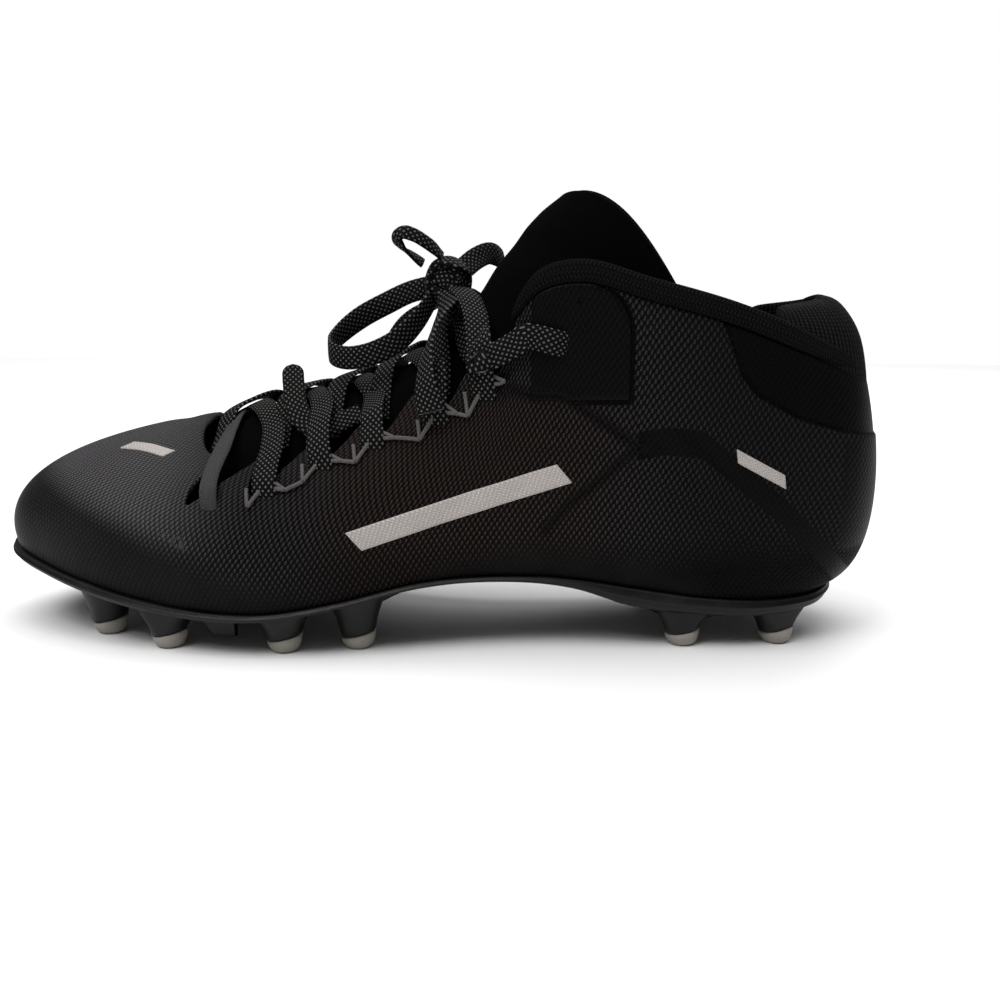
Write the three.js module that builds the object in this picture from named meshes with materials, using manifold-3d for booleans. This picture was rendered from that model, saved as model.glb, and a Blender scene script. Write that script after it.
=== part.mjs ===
// American football cleat, three-quarter cut, left shoe.
// Millimetres, +Z up. The toe points to -X, the heel to +X and the outer side of the foot to -Y.
// The origin is on the floor, below the middle of the shoe.
import * as THREE from "three";
import { mergeVertices } from "three/addons/utils/BufferGeometryUtils.js";
import Module from "manifold-3d";

const wasm = await Module();
wasm.setup();

// Driving sizes
const LENGTH = 300;
const BALL_WIDTH = 101;
const COLLAR_RISE = 110.5;
const STUD_HEIGHT = 12.5;
const WALL = 2;
const GAP = 0.3;

// Collar band and heel tab
const BAND_HEIGHT = 7.6;
const BAND_THICK = 4.4;
const TAB_THICK = 9;
const TAB_TOP = 0.90;
const TAB_SEAT = 12;
const TAB_LEAN = 9;
const TAB_EDGE = 1;
const TAB_REACH = 0.13;
const COLLAR_FRONT = 0.412;

// Tongue, insole and lace
const TONGUE_THICK = 5;
const INSOLE_THICK = 4;
const INSOLE_INSET = 1;
const INSOLE_SEAT = 0.8;
const LACE_WIDTH = 7.6;
const LACE_THICK = 1.6;
const LACE_CLEAR = 1.2;
const EDGE_LIFT = 2.2;
const CROSSING_STEPS = 11;
const ANKLE_STEPS = 9;
const SEARCH_STEPS = 300;

// Plate and studs
const PLATE_EDGE = 1.6;
const PLATE_INSET = 6;
const PLATE_MIDDLE = 26;
const MIDDLE_ALONG = 0.9;
const MIDDLE_ACROSS = 0.35;
const STUD_ROOT_RADIUS = 9.2;
const STUD_NECK_RADIUS = 5.7;
const STUD_TIP_RADIUS = 3.9;
const CAP_HEIGHT = 4.6;
const WEB_THICK = 3;

// Raised and sunk places of the upper
const PANEL_RAISE = 0.9;
const RIDGE_RAISE = 1.4;
const COUNTER_SINK = 0.8;

// How finely the forms are divided
const RIBS = 72;
const RIB_ROWS = 11;
const STUD_SIDES = 12;

const HALF = BALL_WIDTH / 2;
const OUT_BLEND = 25;
const along = (share) => LENGTH / 2 - share * LENGTH;
const above = (share) => STUD_HEIGHT + share * COLLAR_RISE;

// Heights of the seam between upper and plate and of the plate's lower face, heel to toe.
// s is the share of the length from the back of the heel, heights are shares of the collar rise.
const soleTable = [
  { s: 0.00, seam: 0.062, low: 0.030 },
  { s: 0.09, seam: 0.040, low: -0.012 },
  { s: 0.21, seam: 0.046, low: -0.012 },
  { s: 0.28, seam: 0.072, low: 0.010 },
  { s: 0.34, seam: 0.097, low: 0.062 },
  { s: 0.43, seam: 0.110, low: 0.088 },
  { s: 0.51, seam: 0.096, low: 0.074 },
  { s: 0.58, seam: 0.054, low: 0.030 },
  { s: 0.66, seam: 0.018, low: -0.010 },
  { s: 0.75, seam: 0.022, low: -0.012 },
  { s: 0.83, seam: 0.050, low: 0.012 },
  { s: 0.92, seam: 0.098, low: 0.062 },
  { s: 1.00, seam: 0.145, low: 0.108 },
];

// Ribs of the upper from the heel to the toe. s, lat and med place the lower end; top, topLat, topMed
// and rise place the upper end; out, low, lean and drop shape the curve between them. Lengths along the
// foot are shares of its length, widths are shares of half the ball width, and rise is a share of the
// collar rise.
const ribTable = [
  { s: 0.053, lat: 0.00, med: 0.00, top: 0.020, topLat: 0.00, topMed: 0.00, rise: 0.656,
    out: 0.36, low: 0.04, lean: 0.14, drop: 0.35 },
  { s: 0.078, lat: 0.36, med: 0.36, top: 0.042, topLat: 0.36, topMed: 0.36, rise: 0.668,
    out: 0.30, low: 0.10, lean: 0.10, drop: 0.36 },
  { s: 0.135, lat: 0.55, med: 0.55, top: 0.112, topLat: 0.61, topMed: 0.61, rise: 0.742,
    out: 0.22, low: 0.22, lean: 0.02, drop: 0.38 },
  { s: 0.210, lat: 0.60, med: 0.58, top: 0.190, topLat: 0.69, topMed: 0.69, rise: 0.819,
    out: 0.19, low: 0.30, lean: -0.05, drop: 0.38 },
  { s: 0.285, lat: 0.61, med: 0.56, top: 0.270, topLat: 0.72, topMed: 0.72, rise: 0.878,
    out: 0.20, low: 0.30, lean: -0.05, drop: 0.36 },
  { s: 0.355, lat: 0.63, med: 0.52, top: 0.338, topLat: 0.735, topMed: 0.735, rise: 0.926,
    out: 0.21, low: 0.30, lean: -0.02, drop: 0.34 },
  { s: 0.415, lat: 0.67, med: 0.50, top: 0.385, topLat: 0.72, topMed: 0.72, rise: 0.893,
    out: 0.20, low: 0.32, lean: 0.01, drop: 0.34 },
  { s: 0.465, lat: 0.72, med: 0.51, top: 0.416, topLat: 0.68, topMed: 0.69, rise: 0.790,
    out: 0.18, low: 0.36, lean: 0.06, drop: 0.34 },
  { s: 0.530, lat: 0.81, med: 0.58, top: 0.470, topLat: 0.60, topMed: 0.62, rise: 0.690,
    out: 0.17, low: 0.42, lean: 0.14, drop: 0.30 },
  { s: 0.605, lat: 0.895, med: 0.73, top: 0.545, topLat: 0.59, topMed: 0.62, rise: 0.570,
    out: 0.17, low: 0.46, lean: 0.25, drop: 0.24 },
  { s: 0.685, lat: 0.920, med: 0.87, top: 0.625, topLat: 0.57, topMed: 0.62, rise: 0.475,
    out: 0.16, low: 0.50, lean: 0.34, drop: 0.18 },
  { s: 0.765, lat: 0.850, med: 0.915, top: 0.693, topLat: 0.57, topMed: 0.62, rise: 0.436,
    out: 0.15, low: 0.52, lean: 0.43, drop: 0.16 },
  { s: 0.845, lat: 0.715, med: 0.870, top: 0.738, topLat: 0.46, topMed: 0.52, rise: 0.446,
    out: 0.15, low: 0.54, lean: 0.52, drop: 0.15 },
  { s: 0.918, lat: 0.520, med: 0.740, top: 0.754, topLat: 0.25, topMed: 0.34, rise: 0.500,
    out: 0.15, low: 0.55, lean: 0.62, drop: 0.14 },
  { s: 0.972, lat: 0.270, med: 0.510, top: 0.755, topLat: 0.05, topMed: 0.17, rise: 0.528,
    out: 0.16, low: 0.55, lean: 0.74, drop: 0.14 },
  { s: 0.993, lat: -0.130, med: 0.130, top: 0.756, topLat: -0.06, topMed: 0.06, rise: 0.531,
    out: 0.16, low: 0.55, lean: 0.80, drop: 0.14 },
];

// Spine of the tongue from below the throat's front end to its top, with the section that wraps the
// instep at each place. wrap is the half angle of the section and tip the fall of its depth, in degrees;
// arch lifts the middle of each wing, as a share of half the ball width.
const tongueTable = [
  { s: 0.748, rise: 0.478, half: 0.58, depth: 0.56, wrap: 48, tip: -84, arch: 0 },
  { s: 0.690, rise: 0.555, half: 0.64, depth: 0.66, wrap: 72, tip: -82, arch: 0 },
  { s: 0.620, rise: 0.598, half: 0.64, depth: 0.66, wrap: 74, tip: -78, arch: 0 },
  { s: 0.555, rise: 0.655, half: 0.63, depth: 0.64, wrap: 74, tip: -72, arch: 0 },
  { s: 0.500, rise: 0.740, half: 0.61, depth: 0.70, wrap: 76, tip: -62, arch: 0 },
  { s: 0.466, rise: 0.840, half: 0.60, depth: 0.84, wrap: 80, tip: -50, arch: 0 },
  { s: 0.433, rise: 0.965, half: 0.59, depth: 1.00, wrap: 86, tip: -42, arch: 0.03 },
  { s: 0.404, rise: 1.070, half: 0.58, depth: 1.06, wrap: 90, tip: -38, arch: 0.08 },
  { s: 0.383, rise: 1.134, half: 0.57, depth: 1.03, wrap: 92, tip: -36, arch: 0.13 },
  { s: 0.362, rise: 1.176, half: 0.54, depth: 0.91, wrap: 92, tip: -39, arch: 0.19 },
];

// Studs: share of the length and share of half the ball width, outer side negative.
const studTable = [
  { name: "outer_1", s: 0.858, y: -0.46 },
  { name: "outer_2", s: 0.775, y: -0.71 },
  { name: "outer_3", s: 0.648, y: -0.76 },
  { name: "outer_4", s: 0.572, y: -0.66 },
  { name: "inner_1", s: 0.888, y: 0.42 },
  { name: "inner_2", s: 0.795, y: 0.72 },
  { name: "inner_3", s: 0.688, y: 0.70 },
  { name: "heel_outer_front", s: 0.222, y: -0.48 },
  { name: "heel_outer_back", s: 0.118, y: -0.40 },
  { name: "heel_inner_front", s: 0.222, y: 0.46 },
  { name: "heel_inner_back", s: 0.118, y: 0.38 },
];

// Webs that brace the studs along the plate, from one place to another.
const webTable = [
  { from: { s: 0.572, y: -0.66 }, to: { s: 0.470, y: -0.50 }, height: 5.5 },
  { from: { s: 0.648, y: -0.76 }, to: { s: 0.600, y: -0.74 }, height: 4.5 },
  { from: { s: 0.775, y: -0.71 }, to: { s: 0.705, y: -0.72 }, height: 4.5 },
  { from: { s: 0.222, y: -0.48 }, to: { s: 0.305, y: -0.30 }, height: 5.0 },
  { from: { s: 0.222, y: -0.48 }, to: { s: 0.118, y: -0.40 }, height: 3.2 },
  { from: { s: 0.222, y: 0.46 }, to: { s: 0.305, y: 0.30 }, height: 5.0 },
  { from: { s: 0.222, y: 0.46 }, to: { s: 0.118, y: 0.38 }, height: 3.2 },
  { from: { s: 0.688, y: 0.70 }, to: { s: 0.600, y: 0.50 }, height: 5.0 },
];

// A smooth curve through values at rising knots, closed or open, as a function of the knot.
function smooth(knots, values, period = 0) {
  const n = knots.length;
  const gapAfter = (i) => (i < n - 1 ? knots[i + 1] - knots[i] : period - knots[n - 1] + knots[0]);
  const slopeAfter = (i) => (values[(i + 1) % n] - values[i]) / gapAfter(i);
  const slopeAt = (i) => {
    const before = (i + n - 1) % n;
    if (!period && i === 0) return slopeAfter(0);
    if (!period && i === n - 1) return slopeAfter(n - 2);
    const a = gapAfter(before);
    const b = gapAfter(i);
    return (slopeAfter(before) * b + slopeAfter(i) * a) / (a + b);
  };
  return (t) => {
    const at = period ? ((t % period) + period) % period : Math.min(Math.max(t, knots[0]), knots[n - 1]);
    let i = 0;
    while (i < n - (period ? 1 : 2) && knots[i + 1] <= at) i += 1;
    const h = gapAfter(i);
    const k = (at - knots[i]) / h;
    const j = (i + 1) % n;
    return values[i] * (1 + 2 * k) * (1 - k) ** 2 + slopeAt(i) * h * k * (1 - k) ** 2
      + values[j] * k * k * (3 - 2 * k) + slopeAt(j) * h * k * k * (k - 1);
  };
}

const column = (table, name) => table.map((row) => row[name]);
const soleCurve = (name) => smooth(column(soleTable, "s"), column(soleTable, name));
const seamShare = soleCurve("seam");
const lowShare = soleCurve("low");

// The posts go from the heel along the outer side to the toe and back along the inner side.
function makePosts() {
  const post = (row, side) => ({
    ...row,
    y: side < 0 ? -row.lat : row.med,
    topY: side < 0 ? -row.topLat : row.topMed,
  });
  const last = ribTable.length - 1;
  const outer = ribTable.map((row) => post(row, -1));
  const inner = ribTable.slice(1, last).reverse().map((row) => post(row, 1));
  return [...outer, ...inner];
}

const posts = makePosts();
const postKnots = posts.map(() => 0);
for (let i = 1; i <= posts.length; i += 1) {
  const a = posts[i - 1];
  const b = posts[i % posts.length];
  const step = Math.hypot((a.s - b.s) * LENGTH, (a.y - b.y) * HALF);
  if (i < posts.length) postKnots[i] = postKnots[i - 1] + step;
  else posts.round = postKnots[i - 1] + step;
}
const postCurve = (name) => smooth(postKnots, column(posts, name), posts.round);
const ribCurves = Object.fromEntries(
  ["s", "y", "top", "topY", "rise", "out", "low", "lean", "drop"].map((name) => [name, postCurve(name)]),
);

// One rib of the upper: its lower end, upper end, outward direction and the curve between.
function ribAt(u) {
  const t = u * posts.round;
  const at = (name) => ribCurves[name](t);
  const step = posts.round * 1e-4;
  const side = new THREE.Vector2(
    -(ribCurves.s(t + step) - ribCurves.s(t - step)) * LENGTH,
    (ribCurves.y(t + step) - ribCurves.y(t - step)) * HALF,
  ).normalize();
  const foot = new THREE.Vector3(along(at("s")), at("y") * HALF, above(seamShare(at("s"))));
  const top = new THREE.Vector3(along(at("top")), at("topY") * HALF, above(at("rise")));
  const out = new THREE.Vector3(
    -side.y * OUT_BLEND + foot.x - top.x,
    side.x * OUT_BLEND + foot.y - top.y,
    0,
  ).normalize();
  const rise = top.z - foot.z;
  const lower = foot.clone().addScaledVector(out, at("out") * HALF);
  lower.z += at("low") * rise;
  const upper = top.clone().addScaledVector(out, at("lean") * HALF);
  upper.z -= at("drop") * rise;
  return new THREE.CubicBezierCurve3(foot, lower, upper, top);
}

function skinPoint(u, v) {
  return ribAt(u).getPoint(v);
}

function skinNormal(u, v) {
  const du = 2e-4;
  const dv = 2e-3;
  const a = skinPoint(u + du, v).sub(skinPoint(u - du, v));
  const b = skinPoint(u, Math.min(v + dv, 1)).sub(skinPoint(u, Math.max(v - dv, 0)));
  return a.cross(b).negate().normalize();
}

// Rises smoothly from 0 to 1 as x goes from a to b.
function ease(a, b, x) {
  const k = Math.min(Math.max((x - a) / (b - a), 0), 1);
  return k * k * (3 - 2 * k);
}

// How far the skin stands out at a place: ankle panels, the ridge from ankle to heel, heel counter.
function relief(p) {
  const s = (LENGTH / 2 - p.x) / LENGTH;
  const h = (p.z - STUD_HEIGHT) / COLLAR_RISE;
  const panel = ease(0.315, 0.335, s) * ease(0.435, 0.425, s) * ease(0.60, 0.63, h);
  const ridgeLine = s > 0.31 ? 0.50 : 0.50 - (0.31 - s) * 1.75;
  const ridge = ease(0.035, 0.012, Math.abs(h - ridgeLine)) * ease(0.405, 0.385, s) * ease(0.07, 0.11, s);
  const counterLow = 0.52 + 0.75 * Math.max(0, s - 0.06) + 12 * Math.max(0, s - 0.135) ** 1.6;
  const counter = ease(0.185, 0.165, s) * ease(counterLow, counterLow + 0.03, h);
  return PANEL_RAISE * panel + RIDGE_RAISE * ridge - COUNTER_SINK * counter;
}

// A closed body from rings of points: each ring joins the next, and the last joins the first.
function bodyFromRings(rings) {
  const across = rings[0].length;
  const positions = rings.flat().flatMap((p) => [p.x, p.y, p.z]);
  const index = [];
  for (let i = 0; i < rings.length; i += 1) {
    const next = (i + 1) % rings.length;
    for (let j = 0; j < across; j += 1) {
      const k = (j + 1) % across;
      const [a, b, c, d] = [i * across + j, i * across + k, next * across + k, next * across + j];
      index.push(a, b, c, a, c, d);
    }
  }
  return closedGeometry(positions, index);
}

// A closed body from sections along a path, with flat ends.
function bodyFromSections(sections) {
  const across = sections[0].length;
  const positions = sections.flat().flatMap((p) => [p.x, p.y, p.z]);
  const index = [];
  for (let i = 0; i < sections.length - 1; i += 1) {
    for (let j = 0; j < across; j += 1) {
      const k = (j + 1) % across;
      const [a, b, c, d] = [i * across + j, i * across + k, (i + 1) * across + k, (i + 1) * across + j];
      index.push(a, b, c, a, c, d);
    }
  }
  const end = (sections.length - 1) * across;
  for (let j = 1; j < across - 1; j += 1) {
    index.push(0, j + 1, j, end, end + j, end + j + 1);
  }
  return closedGeometry(positions, index);
}

// Turns the faces outward whichever way the loops ran.
function closedGeometry(positions, index) {
  let volume = 0;
  const corner = (i) => new THREE.Vector3(...positions.slice(3 * index[i], 3 * index[i] + 3));
  for (let i = 0; i < index.length; i += 3) {
    volume += corner(i).dot(corner(i + 1).cross(corner(i + 2)));
  }
  if (volume < 0) {
    for (let i = 0; i < index.length; i += 3) {
      [index[i + 1], index[i + 2]] = [index[i + 2], index[i + 1]];
    }
  }
  const geometry = new THREE.BufferGeometry();
  geometry.setAttribute("position", new THREE.Float32BufferAttribute(positions, 3));
  geometry.setIndex(index);
  return geometry;
}

function toSolid(geometry) {
  const bare = geometry.clone();
  bare.deleteAttribute("normal");
  bare.deleteAttribute("uv");
  const merged = mergeVertices(bare, 1e-5);
  return new wasm.Manifold(new wasm.Mesh({
    numProp: 3,
    vertProperties: new Float32Array(merged.attributes.position.array),
    triVerts: new Uint32Array(merged.index.array),
  }));
}

function toGeometry(solid) {
  const mesh = solid.getMesh();
  const geometry = new THREE.BufferGeometry();
  geometry.setAttribute("position", new THREE.BufferAttribute(new Float32Array(mesh.vertProperties), 3));
  geometry.setIndex(new THREE.BufferAttribute(new Uint32Array(mesh.triVerts), 1));
  return geometry;
}

// Upper: one knitted shell from the seam up to the edge of throat and collar.
function makeUpper() {
  const rings = [];
  for (let i = 0; i < RIBS; i += 1) {
    const u = i / RIBS;
    const outside = [];
    const inside = [];
    for (let j = 0; j < RIB_ROWS; j += 1) {
      const v = j / (RIB_ROWS - 1);
      const p = skinPoint(u, v);
      const n = skinNormal(u, v);
      outside.push(p.clone().addScaledVector(n, relief(p)));
      inside.push(p.clone().addScaledVector(n, -WALL));
    }
    rings.push([...outside, ...inside.reverse()]);
  }
  return bodyFromRings(rings);
}

// The outline of the seam at a share of the way round, moved inward and set at a height.
function outlineAt(u, inset, height) {
  const p = skinPoint(u, 0);
  const n = skinNormal(u, 0.02).setZ(0).normalize();
  return new THREE.Vector3(p.x - n.x * inset, p.y - n.y * inset, height(p));
}

// The plate without its studs: side band, dished sole and a flat seat for the upper.
function makePlateBody() {
  const seat = (p) => p.z - GAP;
  const low = (p) => above(lowShare((LENGTH / 2 - p.x) / LENGTH));
  const middle = (p, share) => seat(p) + (low(p) - seat(p)) * share;
  const loops = [
    { inset: PLATE_MIDDLE, height: seat },
    { inset: PLATE_INSET, height: seat },
    { inset: -PLATE_EDGE, height: seat },
    { inset: -PLATE_EDGE * 0.6, height: (p) => middle(p, 0.6) },
    { inset: PLATE_INSET * 0.4, height: (p) => middle(p, 1) },
    { inset: PLATE_MIDDLE, height: low },
  ];
  const count = RIBS;
  const positions = [];
  const index = [];
  loops.forEach(({ inset, height }) => {
    for (let i = 0; i < count; i += 1) {
      const deep = inset > PLATE_INSET;
      const p = deep ? spinePoint(i / count, height) : outlineAt(i / count, inset, height);
      positions.push(p.x, p.y, p.z);
    }
  });
  for (let k = 0; k < loops.length - 1; k += 1) {
    for (let i = 0; i < count; i += 1) {
      const next = (i + 1) % count;
      const [a, b, c, d] = [k * count + i, k * count + next, (k + 1) * count + next, (k + 1) * count + i];
      index.push(a, b, c, a, c, d);
    }
  }
  closeStrip(index, 0, count, true);
  closeStrip(index, (loops.length - 1) * count, count, false);
  return closedGeometry(positions, index);
}

// A point a third of the way from the middle line to the outline.
function spinePoint(u, height) {
  const p = skinPoint(u, 0);
  const q = new THREE.Vector3(p.x * MIDDLE_ALONG, p.y * MIDDLE_ACROSS, p.z);
  q.z = above(seamShare((LENGTH / 2 - q.x) / LENGTH));
  q.z = height(q);
  return q;
}

// Closes a loop of points that starts at the heel with a strip across from side to side.
function closeStrip(index, first, count, flip) {
  let a = 1;
  let b = count - 1;
  const face = (i, j, k) => {
    index.push(...(flip ? [i, k, j] : [i, j, k]).map((corner) => first + corner));
  };
  face(0, a, b);
  while (b - a > 1) {
    face(a, a + 1, b);
    a += 1;
    if (b - a > 1) {
      face(a, b - 1, b);
      b -= 1;
    }
  }
}

const studPlace = ({ s, y }) => new THREE.Vector2(along(s), y * HALF);

// A stud's root, from inside the plate down to the top of its cap.
function makeStudRoot(stud) {
  const at = studPlace(stud);
  const top = above(lowShare(stud.s)) + 1;
  const profile = [
    [0, CAP_HEIGHT + GAP],
    [STUD_NECK_RADIUS, CAP_HEIGHT + GAP],
    [STUD_NECK_RADIUS + 0.6, CAP_HEIGHT + 2.5],
    [STUD_ROOT_RADIUS, top],
    [0, top],
  ].map(([r, z]) => new THREE.Vector2(r, z));
  const geometry = new THREE.LatheGeometry(profile, STUD_SIDES);
  geometry.rotateX(Math.PI / 2);
  geometry.translate(at.x, at.y, 0);
  return geometry;
}

function makeStudCap(stud) {
  const at = studPlace(stud);
  const profile = [
    [0, 0],
    [STUD_TIP_RADIUS, 0],
    [STUD_NECK_RADIUS - 0.7, 1.2],
    [STUD_NECK_RADIUS, CAP_HEIGHT],
    [0, CAP_HEIGHT],
  ].map(([r, z]) => new THREE.Vector2(r, z));
  const geometry = new THREE.LatheGeometry(profile, STUD_SIDES);
  geometry.rotateX(Math.PI / 2);
  geometry.translate(at.x, at.y, 0);
  return geometry;
}

// A web stands full height at the stud and runs out along the plate.
function makeWeb({ from, to, height }) {
  const a = studPlace(from);
  const b = studPlace(to);
  const side = b.clone().sub(a).normalize().rotateAround(new THREE.Vector2(), Math.PI / 2);
  side.multiplyScalar(WEB_THICK / 2);
  const steps = 4;
  const sections = [];
  for (let i = 0; i <= steps; i += 1) {
    const k = i / steps;
    const p = a.clone().lerp(b, k);
    const roof = above(lowShare(from.s + (to.s - from.s) * k));
    const foot = roof - height * (1 - k) ** 1.5 - 0.05;
    sections.push([
      new THREE.Vector3(p.x - side.x, p.y - side.y, roof + 0.8),
      new THREE.Vector3(p.x + side.x, p.y + side.y, roof + 0.8),
      new THREE.Vector3(p.x + side.x, p.y + side.y, foot),
      new THREE.Vector3(p.x - side.x, p.y - side.y, foot),
    ]);
  }
  return bodyFromSections(sections);
}

function makePlate() {
  let plate = toSolid(makePlateBody());
  studTable.forEach((stud) => {
    plate = plate.add(toSolid(makeStudRoot(stud)));
  });
  webTable.forEach((web) => {
    plate = plate.add(toSolid(makeWeb(web)));
  });
  return toGeometry(plate);
}

// Insole: lies on the plate inside the upper.
function makeInsole() {
  const count = 48;
  const base = (p) => p.z + INSOLE_SEAT;
  const loops = [
    { inset: WALL + INSOLE_INSET, height: base },
    { inset: WALL + INSOLE_INSET, height: (p) => base(p) + INSOLE_THICK },
  ];
  const positions = [];
  const index = [];
  loops.forEach(({ inset, height }) => {
    for (let i = 0; i < count; i += 1) {
      const p = outlineAt(i / count, inset, height);
      positions.push(p.x, p.y, p.z);
    }
  });
  for (let i = 0; i < count; i += 1) {
    const next = (i + 1) % count;
    index.push(i, next, count + next, i, count + next, count + i);
  }
  closeStrip(index, 0, count, true);
  closeStrip(index, count, count, false);
  return closedGeometry(positions, index);
}

// Tongue: a curved pad that follows the instep and wraps the front of the ankle.
const tongueCurves = Object.fromEntries(
  ["s", "rise", "half", "depth", "wrap", "tip", "arch"].map((name) => [
    name,
    smooth(tongueTable.map((_, i) => i / (tongueTable.length - 1)), column(tongueTable, name)),
  ]),
);

function tonguePoint(t, k, inward) {
  const at = (name) => tongueCurves[name](t);
  const spine = new THREE.Vector3(along(at("s")), 0.04 * HALF, above(at("rise")));
  const tip = THREE.MathUtils.degToRad(at("tip"));
  const back = new THREE.Vector3(Math.cos(tip), 0, Math.sin(tip));
  const angle = THREE.MathUtils.degToRad(at("wrap")) * k;
  const half = at("half") * HALF - inward;
  const depth = at("depth") * HALF - inward;
  const wing = Math.sin(Math.PI * Math.abs(k) ** 1.5);
  return spine
    .addScaledVector(back, inward + depth * (1 - Math.cos(angle)))
    .add(new THREE.Vector3(0, half * Math.sin(angle), at("arch") * HALF * wing));
}

function makeTongue() {
  const stations = 14;
  const across = 15;
  const sections = [];
  for (let i = 0; i < stations; i += 1) {
    const t = i / (stations - 1);
    const thick = TONGUE_THICK * (0.5 + 0.5 * ease(0, 0.3, t));
    const outside = [];
    const inside = [];
    for (let j = 0; j < across; j += 1) {
      const k = (2 * j) / (across - 1) - 1;
      const thin = 1 - 0.5 * ease(0.8, 1, Math.abs(k));
      outside.push(tonguePoint(t, k, 0));
      inside.push(tonguePoint(t, k, thick * thin));
    }
    sections.push([...outside, ...inside.reverse()]);
  }
  return stripBody(sections, across);
}

// A closed shell from sections whose first half is the outside and whose second half is the inside.
function stripBody(sections, across) {
  const around = sections[0].length;
  const positions = sections.flat().flatMap((p) => [p.x, p.y, p.z]);
  const index = [];
  for (let i = 0; i < sections.length - 1; i += 1) {
    for (let j = 0; j < around; j += 1) {
      const k = (j + 1) % around;
      const [a, b, c, d] = [i * around + j, i * around + k, (i + 1) * around + k, (i + 1) * around + j];
      index.push(a, b, c, a, c, d);
    }
  }
  const end = (sections.length - 1) * around;
  for (let j = 0; j < across - 1; j += 1) {
    const inner = around - 1 - j;
    index.push(j, inner - 1, j + 1, j, inner, inner - 1);
    index.push(end + j, end + j + 1, end + inner - 1, end + j, end + inner - 1, end + inner);
  }
  return closedGeometry(positions, index);
}

// Where a rib comes back to a given place along the length on one side, near its upper end.
function shareAtTop(s, side) {
  let best = 0;
  let near = Infinity;
  for (let i = 0; i <= 400; i += 1) {
    const u = side < 0 ? i / 800 : 1 - i / 800;
    const gap = Math.abs(ribCurves.top(u * posts.round) - s);
    if (gap < near) {
      near = gap;
      best = u;
    }
  }
  return best;
}

const bandFrom = shareAtTop(COLLAR_FRONT, -1);
const bandTo = shareAtTop(COLLAR_FRONT, 1) - 1;

// Collar band: a rolled edge that sits on the upper's rim from one end of the throat round to the other.
const BAND_ROUNDNESS = 0.35;

function makeCollarBand() {
  const steps = 54;
  const sides = 8;
  const sections = [];
  for (let i = 0; i <= steps; i += 1) {
    const u = bandFrom + ((bandTo - bandFrom) * i) / steps;
    const rib = ribAt(u);
    const up = rib.getPoint(1).sub(rib.getPoint(0.96)).normalize();
    const n = skinNormal(u, 0.995);
    const middle = rib.getPoint(1)
      .addScaledVector(up, GAP + BAND_HEIGHT / 2)
      .addScaledVector(n, -WALL / 2);
    const ring = [];
    for (let j = 0; j < sides; j += 1) {
      const angle = ((j + 0.5) / sides) * 2 * Math.PI;
      const c = Math.cos(angle);
      const d = Math.sin(angle);
      const reach = Math.max(Math.abs(c), Math.abs(d)) ** -BAND_ROUNDNESS / 2;
      ring.push(middle.clone()
        .addScaledVector(up, d * reach * (BAND_HEIGHT - GAP))
        .addScaledVector(n, c * reach * (BAND_THICK - GAP)));
    }
    sections.push(ring);
  }
  return bodyFromSections(sections);
}

// Heel tab: a pad inside the back of the collar that rises above it and rolls forward.
const tabFrom = shareAtTop(TAB_REACH, -1);
const tabTo = shareAtTop(TAB_REACH, 1) - 1;

// The tab's section: share of its height and share of its thickness, up its back and down its front.
const tabProfile = [
  { up: 0.00, inward: 0.07 },
  { up: 0.45, inward: 0.00 },
  { up: 0.74, inward: 0.02 },
  { up: 0.92, inward: 0.18 },
  { up: 1.00, inward: 0.50 },
  { up: 0.95, inward: 0.90 },
  { up: 0.80, inward: 1.00 },
  { up: 0.45, inward: 0.75 },
  { up: 0.00, inward: 0.28 },
];

function makeHeelTab() {
  const steps = 22;
  const sections = [];
  for (let i = 0; i <= steps; i += 1) {
    const k = i / steps;
    const u = tabFrom + (tabTo - tabFrom) * k;
    const crown = Math.sin(Math.PI * k) ** 0.24;
    const rim = skinPoint(u, 1);
    const n = skinNormal(u, 0.99).setZ(0).normalize();
    const base = rim.clone().addScaledVector(n, -(WALL / 2 + BAND_THICK / 2 + GAP * 2));
    const thick = TAB_THICK * (0.35 + 0.65 * crown);
    const bandTop = rim.z + GAP + BAND_HEIGHT;
    const top = bandTop + Math.max(TAB_EDGE, (above(TAB_TOP) - bandTop) * crown);
    const low = rim.z - TAB_SEAT * crown - TAB_EDGE;
    const lean = (z) => {
      const climb = Math.max(0, (z - rim.z + TAB_SEAT) / (top - rim.z + TAB_SEAT));
      return TAB_LEAN * crown * climb ** 2.4;
    };
    sections.push(tabProfile.map(({ up, inward }) => {
      const z = low + (top - low) * up;
      const depth = inward * thick + lean(z);
      return new THREE.Vector3(base.x - n.x * depth, base.y - n.y * depth, z);
    }));
  }
  return bodyFromSections(sections);
}

// A flat lace along a line of places, each with the direction that its face looks in.
function ribbon(points, faces, width, thick) {
  const sections = points.map((p, i) => {
    const ahead = points[Math.min(i + 1, points.length - 1)].clone();
    const forward = ahead.sub(points[Math.max(i - 1, 0)]).normalize();
    const across = forward.clone().cross(faces[i]).normalize();
    const face = across.clone().cross(forward).normalize();
    const corner = (a, b) => p.clone()
      .addScaledVector(across, (a * width) / 2)
      .addScaledVector(face, (b * thick) / 2);
    return [corner(-1, -1), corner(1, -1), corner(1, 1), corner(-1, 1)];
  });
  return bodyFromSections(sections);
}

// Eyelets, toe to ankle: share of the length and share of the rib's way up to the throat's edge.
// bulge lifts the crossing that leaves the outer eyelet, in millimetres, where a lace end lies under it.
const eyeletTable = [
  { s: 0.717, v: 0.60, bulge: 0 },
  { s: 0.660, v: 0.64, bulge: 0 },
  { s: 0.604, v: 0.74, bulge: 2.8 },
  { s: 0.551, v: 0.77, bulge: 0 },
  { s: 0.486, v: 0.76, bulge: 0 },
  { s: 0.437, v: 0.80, bulge: 0 },
];

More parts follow.
